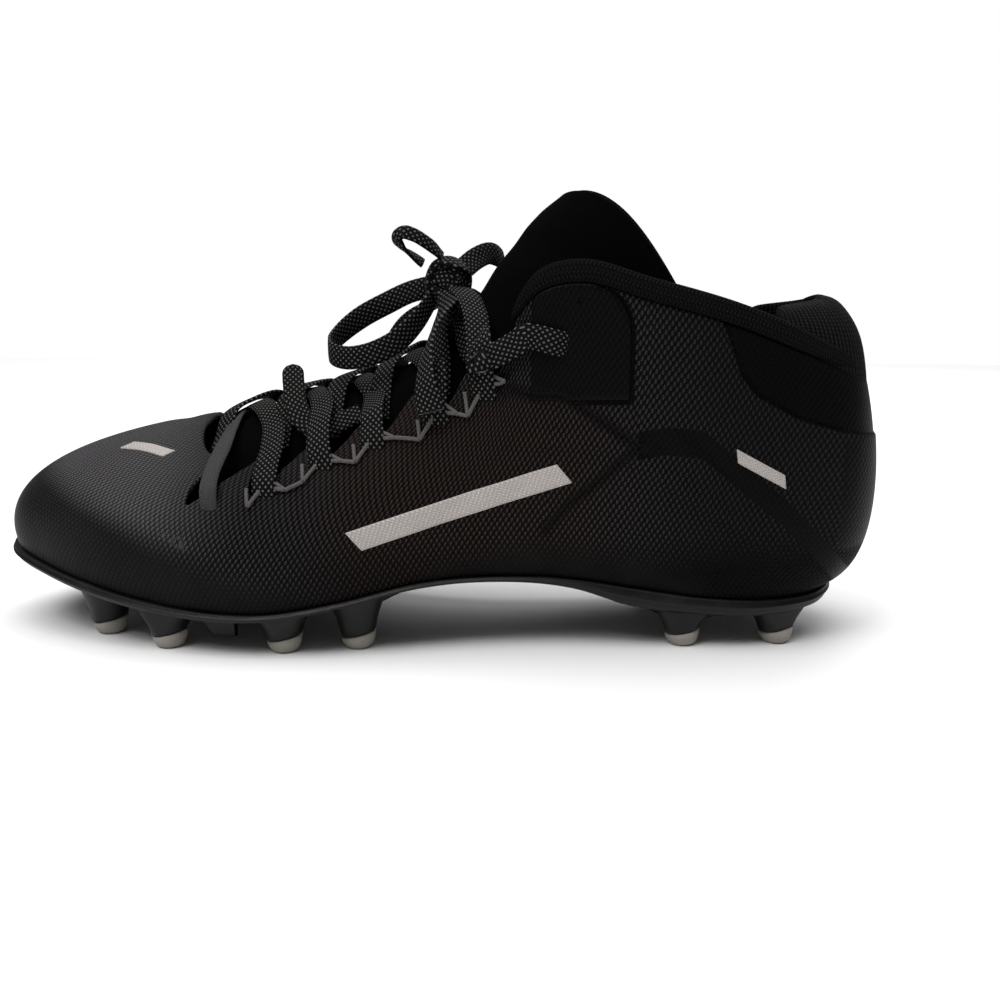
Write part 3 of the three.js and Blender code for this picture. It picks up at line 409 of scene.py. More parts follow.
def knit_material():
    """Raised cells in slanted rows, that fade to smooth skin, smooth panels and the fused band."""
    made, tree, shader = material("knit", 0.6, 0.05)
    around, up = texture_place(tree)
    place = node(tree, "ShaderNodeSeparateXYZ", {0: node(tree, "ShaderNodeTexCoord").outputs["Object"]})
    x, z = place.outputs[0], place.outputs[2]
    lean = calc(tree, "MULTIPLY", up, 0.62)
    rise = wave(tree, calc(tree, "ADD", around, lean), 0.00185)
    fall = wave(tree, calc(tree, "SUBTRACT", around, lean), 0.00185)
    cells = fade(tree, calc(tree, "MULTIPLY", rise, calc(tree, "MULTIPLY_ADD", fall, 0.8, 0.2)), 0.08, 0.6)
    cells = calc(tree, "MULTIPLY", cells, calc(tree, "MULTIPLY_ADD", wave(tree, up, 0.0015), 0.55, 0.45))
    fine, broad = noise(tree, 0.0007, 2.0), noise(tree, 0.018, 3.0)

    inside = panel_inside(tree, x, z)
    panel = fade(tree, inside, 0, 0.5 * MM)
    above_line = calc(tree, "SUBTRACT", z, line_height(tree, x, PANEL_LINE))
    counter = fade(tree, above_line, -0.2 * MM, 0.3 * MM)
    band_gap = calc(tree, "ABSOLUTE", calc(tree, "SUBTRACT", z, line_height(tree, x, BAND_LINE)))
    band = calc(tree, "MULTIPLY", fade(tree, band_gap, 4.6 * MM, 4.0 * MM), fade(tree, x, 65 * MM, 66.5 * MM))
    plain = calc(tree, "MAXIMUM", calc(tree, "MAXIMUM", panel, counter), calc(tree, "MAXIMUM", band, layer(tree, "plain")))
    groove = fade(tree, calc(tree, "ABSOLUTE", calc(tree, "ADD", inside, 0.3 * MM)), 0.9 * MM, 0.4 * MM)
    groove = calc(tree, "MULTIPLY", groove, fade(tree, x, 42 * MM, 52 * MM))
    rim = fade(tree, calc(tree, "ABSOLUTE", above_line), 0.7 * MM, 0.25 * MM)
    groove = calc(tree, "MAXIMUM", groove, calc(tree, "MULTIPLY", rim, fade(tree, x, 85 * MM, 92 * MM)))

    skin_share = layer(tree, "skin")
    bare = calc(tree, "MAXIMUM", plain, skin_share)
    relief = calc(tree, "MULTIPLY", cells, calc(tree, "MULTIPLY_ADD", bare, -0.9, 1.0))
    warm = layer(tree, "warm")
    thread = mixed(tree, warm, (0.054, 0.05, 0.054), (0.06, 0.041, 0.035))
    # Painted highlight: the toe layer paints the thread and the gaps lighter on the toe top, where the top light falls.
    thread = mixed(tree, layer(tree, "toe"), thread, (0.175, 0.168, 0.175))
    knit = mixed(tree, cells, mixed(tree, layer(tree, "toe"), (0.0014, 0.0012, 0.0012), (0.026, 0.025, 0.026)), thread)
    # Painted shade: the shade layer paints the knit darker towards the heel and low down along the sides behind the
    # toe.
    knit = mixed(tree, calc(tree, "MULTIPLY", layer(tree, "shade"), 0.8), knit, (0.0026, 0.0018, 0.0018))
    skin_color = mixed(tree, fade(tree, broad, 0.3, 0.8), (0.0022, 0.002, 0.002), (0.006, 0.0056, 0.0058))
    color = mixed(tree, calc(tree, "MULTIPLY", skin_share, 0.9), knit, skin_color)
    color = mixed(tree, calc(tree, "MULTIPLY", plain, 0.92), color, (0.0016, 0.0012, 0.0013))
    color = mixed(tree, counter, color, (0.0008, 0.0005, 0.0004))
    # Painted shade: the small sunk star on the ankle panel is painted near-black, with no depth of its own.
    color = mixed(tree, fade(tree, star_gap(tree, x, z), 1.0 * MM, 0.7 * MM), color, (0.0003, 0.0003, 0.0003))
    # Painted shade: the grooves round the ankle panel and along the heel panel's edge are painted darker, besides being
    # sunk by the bump.
    color = mixed(tree, groove, color, (0.0006, 0.0006, 0.0006))
    color = mixed(tree, calc(tree, "MULTIPLY", layer(tree, "scuff"), fade(tree, fine, 0.4, 0.7)), color,
                  (0.10, 0.095, 0.09))
    rough = calc(tree, "MULTIPLY_ADD", skin_share, -0.2, 0.66)
    rough = calc(tree, "MULTIPLY_ADD", plain, -0.2, rough)
    height = calc(tree, "MULTIPLY_ADD", fine, 0.1, relief)
    height = calc(tree, "MULTIPLY_ADD", panel, 0.8, calc(tree, "MULTIPLY_ADD", groove, -1.2, height))
    set_inputs(tree, shader, color, rough, height, 0.0007)
    return made


def cloth_material(name, dark, light, pitch=0.0011, slant=1.0, rough=0.9, sheen=0.0, depth=0.0003):
    """A plain cloth whose small threads run along and across."""
    made, tree, shader = material(name, rough, 0.03, sheen=sheen)
    along_it, across = texture_place(tree)
    warp = wave(tree, calc(tree, "MULTIPLY_ADD", across, slant, along_it), pitch)
    weft = wave(tree, calc(tree, "MULTIPLY_ADD", across, -slant, along_it), pitch)
    thread = calc(tree, "MULTIPLY", warp, weft)
    fuzz = noise(tree, 0.0006, 3.0, 0.6)
    shade = calc(tree, "ADD", calc(tree, "MULTIPLY", thread, 0.6), calc(tree, "MULTIPLY", fuzz, 0.4))
    color = mixed(tree, shade, dark, light)
    set_inputs(tree, shader, color, None, shade, depth)
    return made


def ribbed_material():
    """Ribbed mesh of the heel tab: upright ribs with small holes between."""
    made, tree, shader = material("ribbed_mesh", 0.85, 0.04)
    along_it, across = texture_place(tree)
    ribs = wave(tree, along_it, 0.0019)
    holes = wave(tree, across, 0.0013)
    height = calc(tree, "MULTIPLY", ribs, calc(tree, "MULTIPLY_ADD", holes, 0.5, 0.5))
    color = mixed(tree, height, (0.0008, 0.0008, 0.0008), (0.016, 0.016, 0.016))
    set_inputs(tree, shader, color, None, height, 0.0005)
    return made


def rolled_knit_material():
    """Rolled knit of the collar: close rows of small stitches."""
    made, tree, shader = material("rolled_knit", 0.9, 0.03)
    along_it, across = texture_place(tree)
    column = wave(tree, across, 0.0013)
    slanted = wave(tree, calc(tree, "MULTIPLY_ADD", calc(tree, "PINGPONG", across, 0.0013), 0.7, along_it), 0.0012)
    height = calc(tree, "MULTIPLY", calc(tree, "MULTIPLY_ADD", column, 0.6, 0.4), slanted)
    height = calc(tree, "MULTIPLY_ADD", noise(tree, 0.0005), 0.5, height)
    color = mixed(tree, fade(tree, height, 0.3, 1.4), (0.003, 0.0028, 0.003), (0.0125, 0.012, 0.0125))
    set_inputs(tree, shader, color, None, height, 0.0004)
    return made


def lace_material(name="lace_weave", base=(0.004, 0.0038, 0.0038), fleck=(0.13, 0.126, 0.122)):
    """Flat lace: close weave with staggered rows of light flecks."""
    made, tree, shader = material(name, 0.75, 0.08)
    along_it, across = texture_place(tree)
    slant = calc(tree, "MULTIPLY", across, 1.15)
    dots = calc(tree, "MULTIPLY", wave(tree, calc(tree, "ADD", along_it, slant), 0.0021),
                wave(tree, calc(tree, "SUBTRACT", along_it, slant), 0.0021))
    flecks = fade(tree, dots, 0.36, 0.8)
    weave = calc(tree, "MULTIPLY", wave(tree, calc(tree, "ADD", along_it, across), 0.0007),
                 wave(tree, calc(tree, "SUBTRACT", along_it, across), 0.0007))
    color = mixed(tree, weave, tuple(0.4 * c for c in base), base)
    color = mixed(tree, flecks, color, fleck)
    set_inputs(tree, shader, color, None, calc(tree, "MULTIPLY_ADD", flecks, 0.6, weave), 0.00025)
    return made


def plastic_material(name, color, rough, grain=0.002, worn=None):
    """Moulded plastic with faint grain, uneven gloss and, where given, a worn colour in broad patches."""
    made, tree, shader = material(name, rough, 0.25)
    fine, broad = noise(tree, 0.0009, 3.0), noise(tree, 0.012, 4.0)
    shades = mixed(tree, broad, tuple(0.75 * c for c in color), tuple(min(1.25 * c, 1) for c in color))
    if worn:
        shades = mixed(tree, calc(tree, "MULTIPLY", fade(tree, broad, 0.52, 0.72), 0.6), shades, worn)
    gloss = calc(tree, "MULTIPLY_ADD", broad, 0.25, rough - 0.12)
    set_inputs(tree, shader, shades, gloss, fine, grain * 0.05)
    return made


def foil_material():
    """Silvery embossed print of the plain bars."""
    made, tree, shader = material("silver_print", 0.42, 0.6)
    around, up = texture_place(tree)
    emboss = calc(tree, "MULTIPLY", wave(tree, calc(tree, "ADD", around, up), 0.0016),
                  wave(tree, calc(tree, "SUBTRACT", around, up), 0.0016))
    color = mixed(tree, emboss, (0.36, 0.32, 0.30), (0.60, 0.57, 0.54))
    set_inputs(tree, shader, color, None, emboss, 0.0002)
    return made


# Upper

RIBS, ROWS, INNER_ROWS = 560, 122, 26
ROUND_LENGTH = 0.66
PANEL_EDGE, PANEL_START, PANEL_FOOT, CORNER_START, CORNER_HIGH, CORNER_WIDE = (
    63.5 * MM, 33 * MM, 80 * MM, 99 * MM, 14.5 * MM, 9.7 * MM)
PANEL_RAISE, RIDGE_RAISE, COUNTER_SINK, DIMPLE = 0.7 * MM, 1.0 * MM, 0.7 * MM, (47.5 * MM, 109.5 * MM)

# Eyelets, toe to ankle: share of the length and share of the way up the rib.
EYELETS = [(0.717, 0.60), (0.660, 0.64), (0.604, 0.74), (0.551, 0.77), (0.486, 0.76), (0.437, 0.80)]
ANKLE_EYELET = (0.360, 0.815)
NOTCH_HALF = 8 * MM

# Seams on the skin as x and z, and the line below the smooth heel panel.
SEAMS = [
    np.array([(24, 85), (33, 82), (43, 82), (55, 74), (66, 66.5)]) * MM,
    np.array([(66, 66.5), (56, 57), (46, 49), (38, 40)]) * MM,
]
BAND_LINE = np.array([(66, 66.5), (75, 68), (86, 67), (97, 58), (112, 46), (124, 34), (134, 24)]) * MM
PANEL_LINE = np.array([(90.5, 104), (94, 96), (96.5, 88.5), (102, 82), (115, 75), (130, 70.5), (152, 67)]) * MM
SKIN_LINE = np.array([(-150, 62), (-120, 50), (-92, 39.5), (-72, 30), (-52, 23), (-29, 17.5), (-10, 16), (5, 27),
                      (36, 34), (68, 30), (90, 20), (150, 12)]) * MM


def gap_to_line(x, z, line):
    """Distance from each place to a line of straight stretches."""
    best = np.full(np.shape(x), 1.0)
    for (ax, az), (bx, bz) in zip(line[:-1], line[1:]):
        reach = (bx - ax) ** 2 + (bz - az) ** 2
        k = np.clip(((x - ax) * (bx - ax) + (z - az) * (bz - az)) / reach, 0, 1)
        best = np.minimum(best, np.hypot(x - ax - k * (bx - ax), z - az - k * (bz - az)))
    return best


def u_at(s, v, side):
    """The rib whose point at v lies at a share of the length, on one side."""
    u = np.linspace(0, 0.5, 1501) if side < 0 else np.linspace(1, 0.5, 1501)
    return u[np.abs(skin(u, v)[:, 0] - along(s)).argmin()]


def upright(u, v):
    """Turns the upper's columns so that they rise at one share of the length beside the throat."""
    low_s = CURVES["s"](u * ROUND)
    ends = [np.linspace(0, 0.5, 801), np.linspace(1, 0.5, 801)]
    target = u.copy()
    for part, near in ((ends[0], u <= 0.5), (ends[1], u > 0.5)):
        top_s = CURVES["top"](part * ROUND)
        rising = np.maximum.accumulate(top_s + np.arange(len(top_s)) * 1e-9)
        target = np.where(near, np.interp(low_s, rising, part), target)
    share = ease(0.40, 0.46, low_s) * ease(0.735, 0.58, low_s)
    top_u = u + (target - u) * share
    return u + (top_u - u) * ease(0.25, 0.85, v)


def edge_share(u):
    """How far up each column the knit goes: the throat's edge is notched at each eyelet."""
    share = np.ones_like(u)
    s = 0.5 - skin(upright(u, 0 * u + 0.8), 0 * u + 0.8)[:, 0] / LENGTH
    for at, v in EYELETS:
        gap = np.abs(s - at) * LENGTH / NOTCH_HALF
        share -= (1.02 - v) * np.clip(1 - gap ** 1.5, 0, 1) * ((u > 0.1) & (u < 0.9))
    return np.clip(share, 0.4, 1)


def panel_gap(x, z):
    """How far inside the ankle panel's rounded outline a place is."""
    corner = np.clip((z - CORNER_START) / CORNER_HIGH, 0, 1)
    right = PANEL_EDGE - CORNER_WIDE * (1 - np.sqrt(1 - corner ** 2))
    return np.minimum(np.minimum(x - PANEL_START, right - x), z - PANEL_FOOT)


def heel_panel(x, z):
    line = np.interp(x, PANEL_LINE[:, 0], PANEL_LINE[:, 1], left=1.0)
    return ease(-0.6 * MM, 0.6 * MM, z - line)


def relief(p):
    """How far the skin stands out at each place, in metres."""
    x, z = p[..., 0], p[..., 2]
    inside = panel_gap(x, z)
    height = PANEL_RAISE * ease(0, 1.5 * MM, inside)
    ridge_line = np.where(x > 57 * MM, 0.50 - (x - 57 * MM) / LENGTH * 1.75, 0.50)
    share = (z - STUD_HEIGHT) / RISE
    ridge = ease(0.035, 0.008, np.abs(share - ridge_line)) * ease(30 * MM, 40 * MM, x) * ease(130 * MM, 118 * MM, x)
    height += RIDGE_RAISE * ridge
    height -= COUNTER_SINK * heel_panel(x, z)
    for seam in SEAMS:
        gap = gap_to_line(x, z, seam)
        height += 0.5 * MM * ease(2.2 * MM, 1.2 * MM, gap) - 0.9 * MM * ease(0.9 * MM, 0.1 * MM, gap)
    return height + creases(p)


def creases(p):
    """Soft troughs where the forefoot bends and where the ankle gives."""
    x, y, z = p[..., 0], p[..., 1], p[..., 2]
    height = np.zeros_like(x)
    for start, slant, deep, reach in ((-84, 0.5, 0.5, 5), (-70, 0.3, 0.45, 4), (-57, 0.2, 0.35, 4)):
        line = start * MM + slant * (STUD_HEIGHT + 0.45 * RISE - z)
        height -= deep * MM * np.exp(-((x - line) / (reach * MM)) ** 2) * ease(30 * MM, 45 * MM, z)
    for start, slant, deep in ((22, 0.9, 0.5), (34, 0.7, 0.4), (80, -0.8, 0.5), (92, -0.9, 0.4)):
        line = start * MM + slant * (z - 60 * MM)
        away = np.abs(z - 58 * MM) / (18 * MM)
        height -= deep * MM * np.exp(-((x - line) / (4 * MM)) ** 2 - away ** 2)
    return height


def upper_layers(p):
    """Shares of plain cover, smooth skin, scuff, painted highlight on the toe top, warm thread and painted shade at
    each place.
    """
    x, y, z = p[..., 0], p[..., 1], p[..., 2]
    plain = 0.9 * ease(130 * MM, 131 * MM, x) * ease(68.5 * MM, 67.5 * MM, z) * ease(31 * MM, 33 * MM, z)
    for seam in SEAMS:
        plain = np.maximum(plain, 0.8 * ease(2.4 * MM, 1.4 * MM, gap_to_line(x, z, seam)))
    line = np.interp(x, SKIN_LINE[:, 0], SKIN_LINE[:, 1])
    scuff = ease(1.6 * MM, 0.2 * MM, gap_to_line(x, z, np.array([(-79, 38.8), (-72, 35.6)]) * MM)) * (y < 0)
    return {
        "plain": plain, "skin": ease(7 * MM, -5 * MM, z - line) * (1 - plain), "scuff": scuff,
        # toe: painted highlight on the toe top.
        "toe": ease(-52 * MM, -92 * MM, x) * ease(26 * MM, 46 * MM, z),
        "warm": ease(-45 * MM, -15 * MM, x) * ease(75 * MM, 40 * MM, x) * ease(92 * MM, 72 * MM, z),
        # shade: painted shade towards the heel and low down along the sides behind the toe.
        "shade": ease(52 * MM, 100 * MM, x) * 0.75 + ease(42 * MM, 24 * MM, z) * ease(-60 * MM, -20 * MM, x) * 0.6,
    }


def make_upper():
    u = np.arange(RIBS) / RIBS
    rise = edge_share(u)
    v = np.linspace(0, 1, ROWS)
    outer_v = v[None, :] * rise[:, None]
    outer_u = upright(np.repeat(u[:, None], ROWS, 1), outer_v)
    base = skin(outer_u, outer_v)
    outside = base + skin_normal(outer_u, outer_v) * relief(base)[..., None]
    inner_v = np.linspace(1, 0, INNER_ROWS)[None, :] * rise[:, None]
    inner_u = upright(np.repeat(u[:, None], INNER_ROWS, 1), inner_v)
    inside = skin(inner_u, inner_v) - skin_normal(inner_u, inner_v) * WALL
    lip = (outside[:, -1:] + inside[:, :1]) / 2
    lip += unit(outside[:, -1:] - outside[:, -3:-2]) * 0.5 * MM
    points = np.concatenate([outside, lip, inside], 1)
    lengths = np.linalg.norm(np.diff(points, axis=1, append=points[:, :1]), axis=-1)
    up = np.concatenate([np.zeros((RIBS, 1)), np.cumsum(lengths, axis=1)], 1)
    up = np.concatenate([up, up[:1]], 0)
    around = np.concatenate([outer_u, outer_u[:, -1:], inner_u, outer_u[:, :1]], 1) * ROUND_LENGTH
    around = np.concatenate([around, around[:1] + ROUND_LENGTH], 0)
    part = grid(points, np.stack([around, up], -1), (True, True))
    made = piece("upper_shell", [part], knit_material(), upper_layers(points))
    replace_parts(made, "upper")
    return made


# Insole and lining

def outline(u, inset):
    """The seam's outline, moved inward."""
    p, n = skin(u, 0 * u), skin_normal(u, 0 * u + 0.02)
    flat = unit(n * np.array([1, 1, 0]))
    return p - flat * inset


def make_insole():
    u = np.arange(180) / 180
    rim = outline(u, 3.2 * MM)
    middle = rim * np.array([0.93, 0.0, 1.0])
    middle[:, 2] = above(seam_share(0.5 - middle[:, 0] / LENGTH))
    rows = []
    for share, lift in ((0, 4.6), (0.04, 5.4), (0.16, 4.9), (0.4, 4.4), (0.7, 4.2), (1, 4.1)):
        row = rim + (middle - rim) * share
        row[:, 2] = above(seam_share(0.5 - row[:, 0] / LENGTH)) + lift * MM
        rows.append(row)
    for share in (1, 0):
        row = rim + (middle - rim) * share
        row[:, 2] = above(seam_share(0.5 - row[:, 0] / LENGTH)) + 0.9 * MM
        rows.append(row)
    points = np.stack(rows)
    uv = np.concatenate([points, points[:, :1]], 1)[..., :2]
    cloth = cloth_material("sock_liner", (0.008, 0.008, 0.0085), (0.03, 0.03, 0.031), 0.0013)
    made = piece("sock_liner", [grid(points, uv, (False, True))], cloth)
    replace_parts(made, "insole")


# Tongue

TONGUE_THICK = 5 * MM


def make_tongue():
    t, k = np.linspace(0, 1, 110), np.linspace(-1, 1, 90)
    grid_t, grid_k = np.meshgrid(t, k, indexing="ij")
    thick = TONGUE_THICK * (0.5 + 0.5 * ease(0, 0.3, grid_t)) * (1 - 0.5 * ease(0.8, 1, np.abs(grid_k)))
    thick *= 1 - 0.35 * ease(0.93, 1, grid_t)
    outside, inside = tongue(grid_t, grid_k, 0), tongue(grid_t, grid_k, thick)
    folds = 0.5 * MM * np.sin(grid_t * 46 + 1.5 * np.cos(3 * grid_k)) * ease(0.45, 0.6, grid_t) * ease(0.9, 0.7, grid_t)
    outside = outside + unit(outside - inside) * folds[..., None] * 0.5
    ring = np.concatenate([outside, inside[:, ::-1]], 1)
    ends = [(ring[i] + ring[i, ::-1]) / 2 for i in (slice(0, 1), slice(-1, None))]
    lip = ends[1] + unit(ring[-1:] - ring[-3:-2]) * 1.2 * MM
    points = np.concatenate([ends[0], ring, 0.6 * ring[-1:] + 0.4 * lip, lip], 0)
    lengths = np.linalg.norm(np.diff(points, axis=1, append=points[:, :1]), axis=-1)
    across = np.concatenate([np.zeros((len(points), 1)), np.cumsum(lengths, 1)], 1)
    up = np.repeat((np.linspace(0, 0.15, len(points)))[:, None], across.shape[1], 1)
    cloth = cloth_material("tongue_cloth", (0.0004, 0.0004, 0.0004), (0.0016, 0.0016, 0.0016), 0.0009)
    made = piece("tongue_pad", [grid(points, np.stack([across, up], -1), (False, True))], cloth)
    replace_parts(made, "tongue")


# Collar band and heel tab

BAND_HEIGHT, BAND_THICK, COLLAR_FRONT, TAB_REACH, TAB_OUT = 7 * MM, 4.4 * MM, 0.412, 0.13, 3.6 * MM
TAB_THICK, TAB_TOP, TAB_SEAT, TAB_LEAN, TAB_EDGE = 9 * MM, 0.90, 12 * MM, 9 * MM, 1 * MM


def top_u(s, side):
    """The rib whose upper end lies at a share of the length, on one side."""
    u = np.linspace(0, 0.5, 1001) if side < 0 else np.linspace(1, 0.5, 1001)
    return u[np.abs(CURVES["top"](u * ROUND) - s).argmin()]


def make_collar():
    steps, sides = 300, 20
    u = np.linspace(top_u(COLLAR_FRONT, -1), top_u(COLLAR_FRONT, 1) - 1, steps)
    top = skin(u, 0 * u + 1)
    up = unit(top - skin(u, 0 * u + 0.96))
    n = skin_normal(u, 0 * u + 0.995)
    middle = top + up * (GAP + BAND_HEIGHT / 2) - n * WALL / 2
    angle = (np.arange(sides) + 0.5) / sides * 2 * np.pi
    reach = np.maximum(np.abs(np.cos(angle)), np.abs(np.sin(angle))) ** -0.35 / 2
    end = np.minimum(np.arange(steps), np.arange(steps)[::-1])
    close = np.sqrt(np.clip(end / 6, 0, 1))[:, None, None]
    middle = middle - n * (2.2 * MM * ease(105 * MM, 128 * MM, middle[:, 0]))[:, None]
    ring = middle[:, None] + up[:, None] * (np.sin(angle) * reach * BAND_HEIGHT)[None, :, None] * close
    ring += n[:, None] * (np.cos(angle) * reach * BAND_THICK)[None, :, None] * close
    length = np.append(0, np.cumsum(np.linalg.norm(np.diff(middle, axis=0), axis=1)))
    uv = np.stack(np.meshgrid(length, np.arange(sides + 1) / sides * 0.0205, indexing="ij"), -1)
    made = piece("collar_roll", [grid(ring, uv, (False, True))], rolled_knit_material())
    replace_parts(made, "collar_band")


TAB_PROFILE = np.array([
    (0.00, 0.07), (0.45, 0.00), (0.74, 0.02), (0.92, 0.18), (1.00, 0.50), (0.95, 0.90), (0.80, 1.00),
    (0.45, 0.75), (0.00, 0.28),
])


def make_tab():
    steps, around = 120, 64
    k = np.linspace(0, 1, steps)
    start, end = top_u(TAB_REACH, -1), top_u(TAB_REACH, 1) - 1
    u = start + (end - start) * k
    crown = np.clip(np.sin(np.pi * k), 0, 1) ** 0.24
    rim = skin(u, 0 * u + 1)
    n = unit(skin_normal(u, 0 * u + 0.99) * np.array([1, 1, 0]))
    base = rim - n * (WALL / 2 + BAND_THICK / 2 + GAP * 2 - TAB_OUT * crown[:, None])
    thick = (TAB_THICK + TAB_OUT * 0.7) * (0.35 + 0.65 * crown)
    band_top = rim[:, 2] + GAP + BAND_HEIGHT
    top = band_top + np.maximum(TAB_EDGE, (above(TAB_TOP) - band_top) * crown)
    low = rim[:, 2] - TAB_SEAT * crown - TAB_EDGE
    closed = np.concatenate([TAB_PROFILE, TAB_PROFILE[:1]])
    reach = np.append(0, np.cumsum(np.hypot(*np.diff(closed, axis=0).T)))
    shares = np.linspace(0, reach[-1], around, endpoint=False)
    up, inward = (smooth(reach[:-1], closed[:-1, i], reach[-1])(shares) for i in (0, 1))
    z = low[:, None] + (top - low)[:, None] * up[None, :]
    climb = np.clip((z - rim[:, 2:] + TAB_SEAT) / (top - rim[:, 2] + TAB_SEAT)[:, None], 0, None)
    depth = inward[None, :] * thick[:, None] + TAB_LEAN * crown[:, None] * climb ** 2.4
    x, y = base[:, :1] - n[:, :1] * depth, base[:, 1:2] - n[:, 1:2] * depth
    points = np.stack([x, y, z], -1)
    along_it = np.append(0, np.cumsum(np.linalg.norm(np.diff(rim, axis=0), axis=1)))
    uv = np.stack(np.meshgrid(along_it, np.append(shares, reach[-1]) * 0.03, indexing="ij"), -1)
    made = piece("heel_pad", [grid(points, uv, (False, True))], ribbed_material())
    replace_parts(made, "heel_tab")



# Plate and studs

PLATE_EDGE, PLATE_INSET = 1.6 * MM, 6 * MM
NECK, ROOT, TIP, CAP_HEIGHT, CAP_SLANT = 5.7 * MM, 9.2 * MM, 3.9 * MM, 4.6 * MM, 0.22
STUDS = {
    "outer_1": (0.858, -0.46), "outer_2": (0.775, -0.71), "outer_3": (0.648, -0.76), "outer_4": (0.572, -0.66),
    "inner_1": (0.888, 0.42), "inner_2": (0.795, 0.72), "inner_3": (0.688, 0.70),
    "heel_outer_front": (0.222, -0.48), "heel_outer_back": (0.118, -0.40),
    "heel_inner_front": (0.222, 0.46), "heel_inner_back": (0.118, 0.38),
}

# Webs under the plate: start and end as shares of length and half width, then depth in millimetres.
WEBS = [
    ((0.572, -0.66), (0.470, -0.50), 5.5), ((0.648, -0.76), (0.600, -0.74), 4.5),
    ((0.775, -0.71), (0.705, -0.72), 4.5), ((0.222, -0.48), (0.305, -0.30), 5.0),
    ((0.222, -0.48), (0.118, -0.40), 3.2), ((0.222, 0.46), (0.305, 0.30), 5.0),
    ((0.222, 0.46), (0.118, 0.38), 3.2), ((0.688, 0.70), (0.600, 0.50), 5.0),
]


def plate_body():
    count = 480
    u = np.arange(count) / count
    rim = outline(u, 0 * MM)
    out = unit(rim - outline(u, 1 * MM))
    seat = rim[:, 2] - GAP
    low = above(low_share(0.5 - rim[:, 0] / LENGTH))
    rows = []
    for inset, share in ((PLATE_INSET, 0), (-PLATE_EDGE + 0.2 * MM, 0), (-PLATE_EDGE, 0.05), (-PLATE_EDGE, 0.28),
                         (-PLATE_EDGE - 0.5 * MM, 0.33), (-PLATE_EDGE - 0.5 * MM, 0.40), (-PLATE_EDGE + 0.1 * MM, 0.46),
                         (-PLATE_EDGE + 0.2 * MM, 0.62), (-PLATE_EDGE + 0.6 * MM, 0.78), (0.3 * MM, 0.92), (2.4 * MM, 1)):
        row = rim - out * inset
        row[:, 2] = seat + (low - seat) * share
        rows.append(row)
    for share in (0.06, 0.12, 0.2, 0.3, 0.4, 0.5, 0.6, 0.7, 0.8, 0.9, 1):
        row = (rim - out * 2.4 * MM) * (1 - np.array([0.08, 1, 0]) * share)
        row[:, 2] = above(low_share(0.5 - row[:, 0] / LENGTH)) - sole_ribs(row[:, 0], row[:, 1])
        rows.append(row)
    for share in (1, 0.5):
        row = rim * (1 - np.array([0.08, 1, 0]) * share)
        row[:, 2] = above(seam_share(0.5 - row[:, 0] / LENGTH)) - GAP
        rows.append(row)
    points = np.stack(rows)
    uv = np.concatenate([points, points[:, :1]], 1)[..., :2]
    return grid(points, np.concatenate([uv, uv[:1]]), (True, True))


def sole_ribs(x, y):
    """How far the stiffening ribs stand down from the sole."""
    spine = ease(3.2 * MM, 1.6 * MM, np.abs(y)) * ease(-100 * MM, -80 * MM, x) * ease(120 * MM, 100 * MM, x)
    cross = ease(0.35, 0.6, np.sin((np.abs(y) * 1.2 + x) / (13 * MM) * 2 * np.pi)) * ease(4 * MM, 8 * MM, np.abs(y))
    return 1.1 * MM * spine + 0.7 * MM * cross


def slanted(part, centre, low, high, at_low, at_high):
    """Tilts a turned shape's rows along the shoe, by at_low at its lower end and at_high at its upper one."""
    points = part["points"]
    share = (points[..., 2] - low) / (high - low)
    tilt = at_low + (at_high - at_low) * np.clip(share, 0, 1)
    points[..., 2] += tilt * CAP_SLANT * (points[..., 0] - centre[0])
    return part


def stud_root(place):
    s, y = place
    centre, top = (along(s), y * HALF), above(low_share(s)) + 1.5 * MM
    base = CAP_HEIGHT + GAP
    tall = top - base
    rows = [(0, base), (NECK - 0.3 * MM, base), (NECK, base + 0.3 * MM), (NECK + 0.4 * MM, base + 0.2 * tall),
            (NECK + 1.1 * MM, base + 0.42 * tall), (NECK + 2.2 * MM, base + 0.64 * tall),
            (ROOT - 0.3 * MM, base + 0.84 * tall), (ROOT, top), (0, top)]
    part = slanted(lathe(rows, 48, centre), centre, base, top, 1, 0)
    points = part["points"]
    share = np.clip((points[..., 2] - base) / tall, 0, 1)
    points[..., 2] += (above(low_share(0.5 - points[..., 0] / LENGTH)) - above(low_share(s))) * share ** 2
    u = np.linspace(0.01, 0.49, 300)
    rim = outline(u if y < 0 else 1 - u, 0.4 * MM)
    rim = rim[rim[:, 0].argsort()]
    limit = np.abs(np.interp(points[..., 0], rim[:, 0], rim[:, 1]))
    points[..., 1] = np.clip(points[..., 1], -limit, limit)
    return part


def make_caps():
    plastic = plastic_material("cap_plastic", (0.28, 0.26, 0.23), 0.42, worn=(0.12, 0.11, 0.10))
    for name, (s, y) in STUDS.items():
        centre = (along(s), y * HALF)
        rows = [(0, 0), (TIP - 0.4 * MM, 0), (TIP + 0.1 * MM, 0.35 * MM), (NECK - 0.9 * MM, 1.2 * MM),
                (NECK - 0.35 * MM, 2.6 * MM), (NECK - 0.05 * MM, CAP_HEIGHT - 0.2 * MM),
                (NECK - 0.4 * MM, CAP_HEIGHT), (0, CAP_HEIGHT)]
        cap = slanted(lathe(rows, 48, centre), centre, 1.2 * MM, CAP_HEIGHT, 0, 1)
        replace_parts(piece(f"cap_{name}", [cap], plastic), f"stud_cap_{name}")


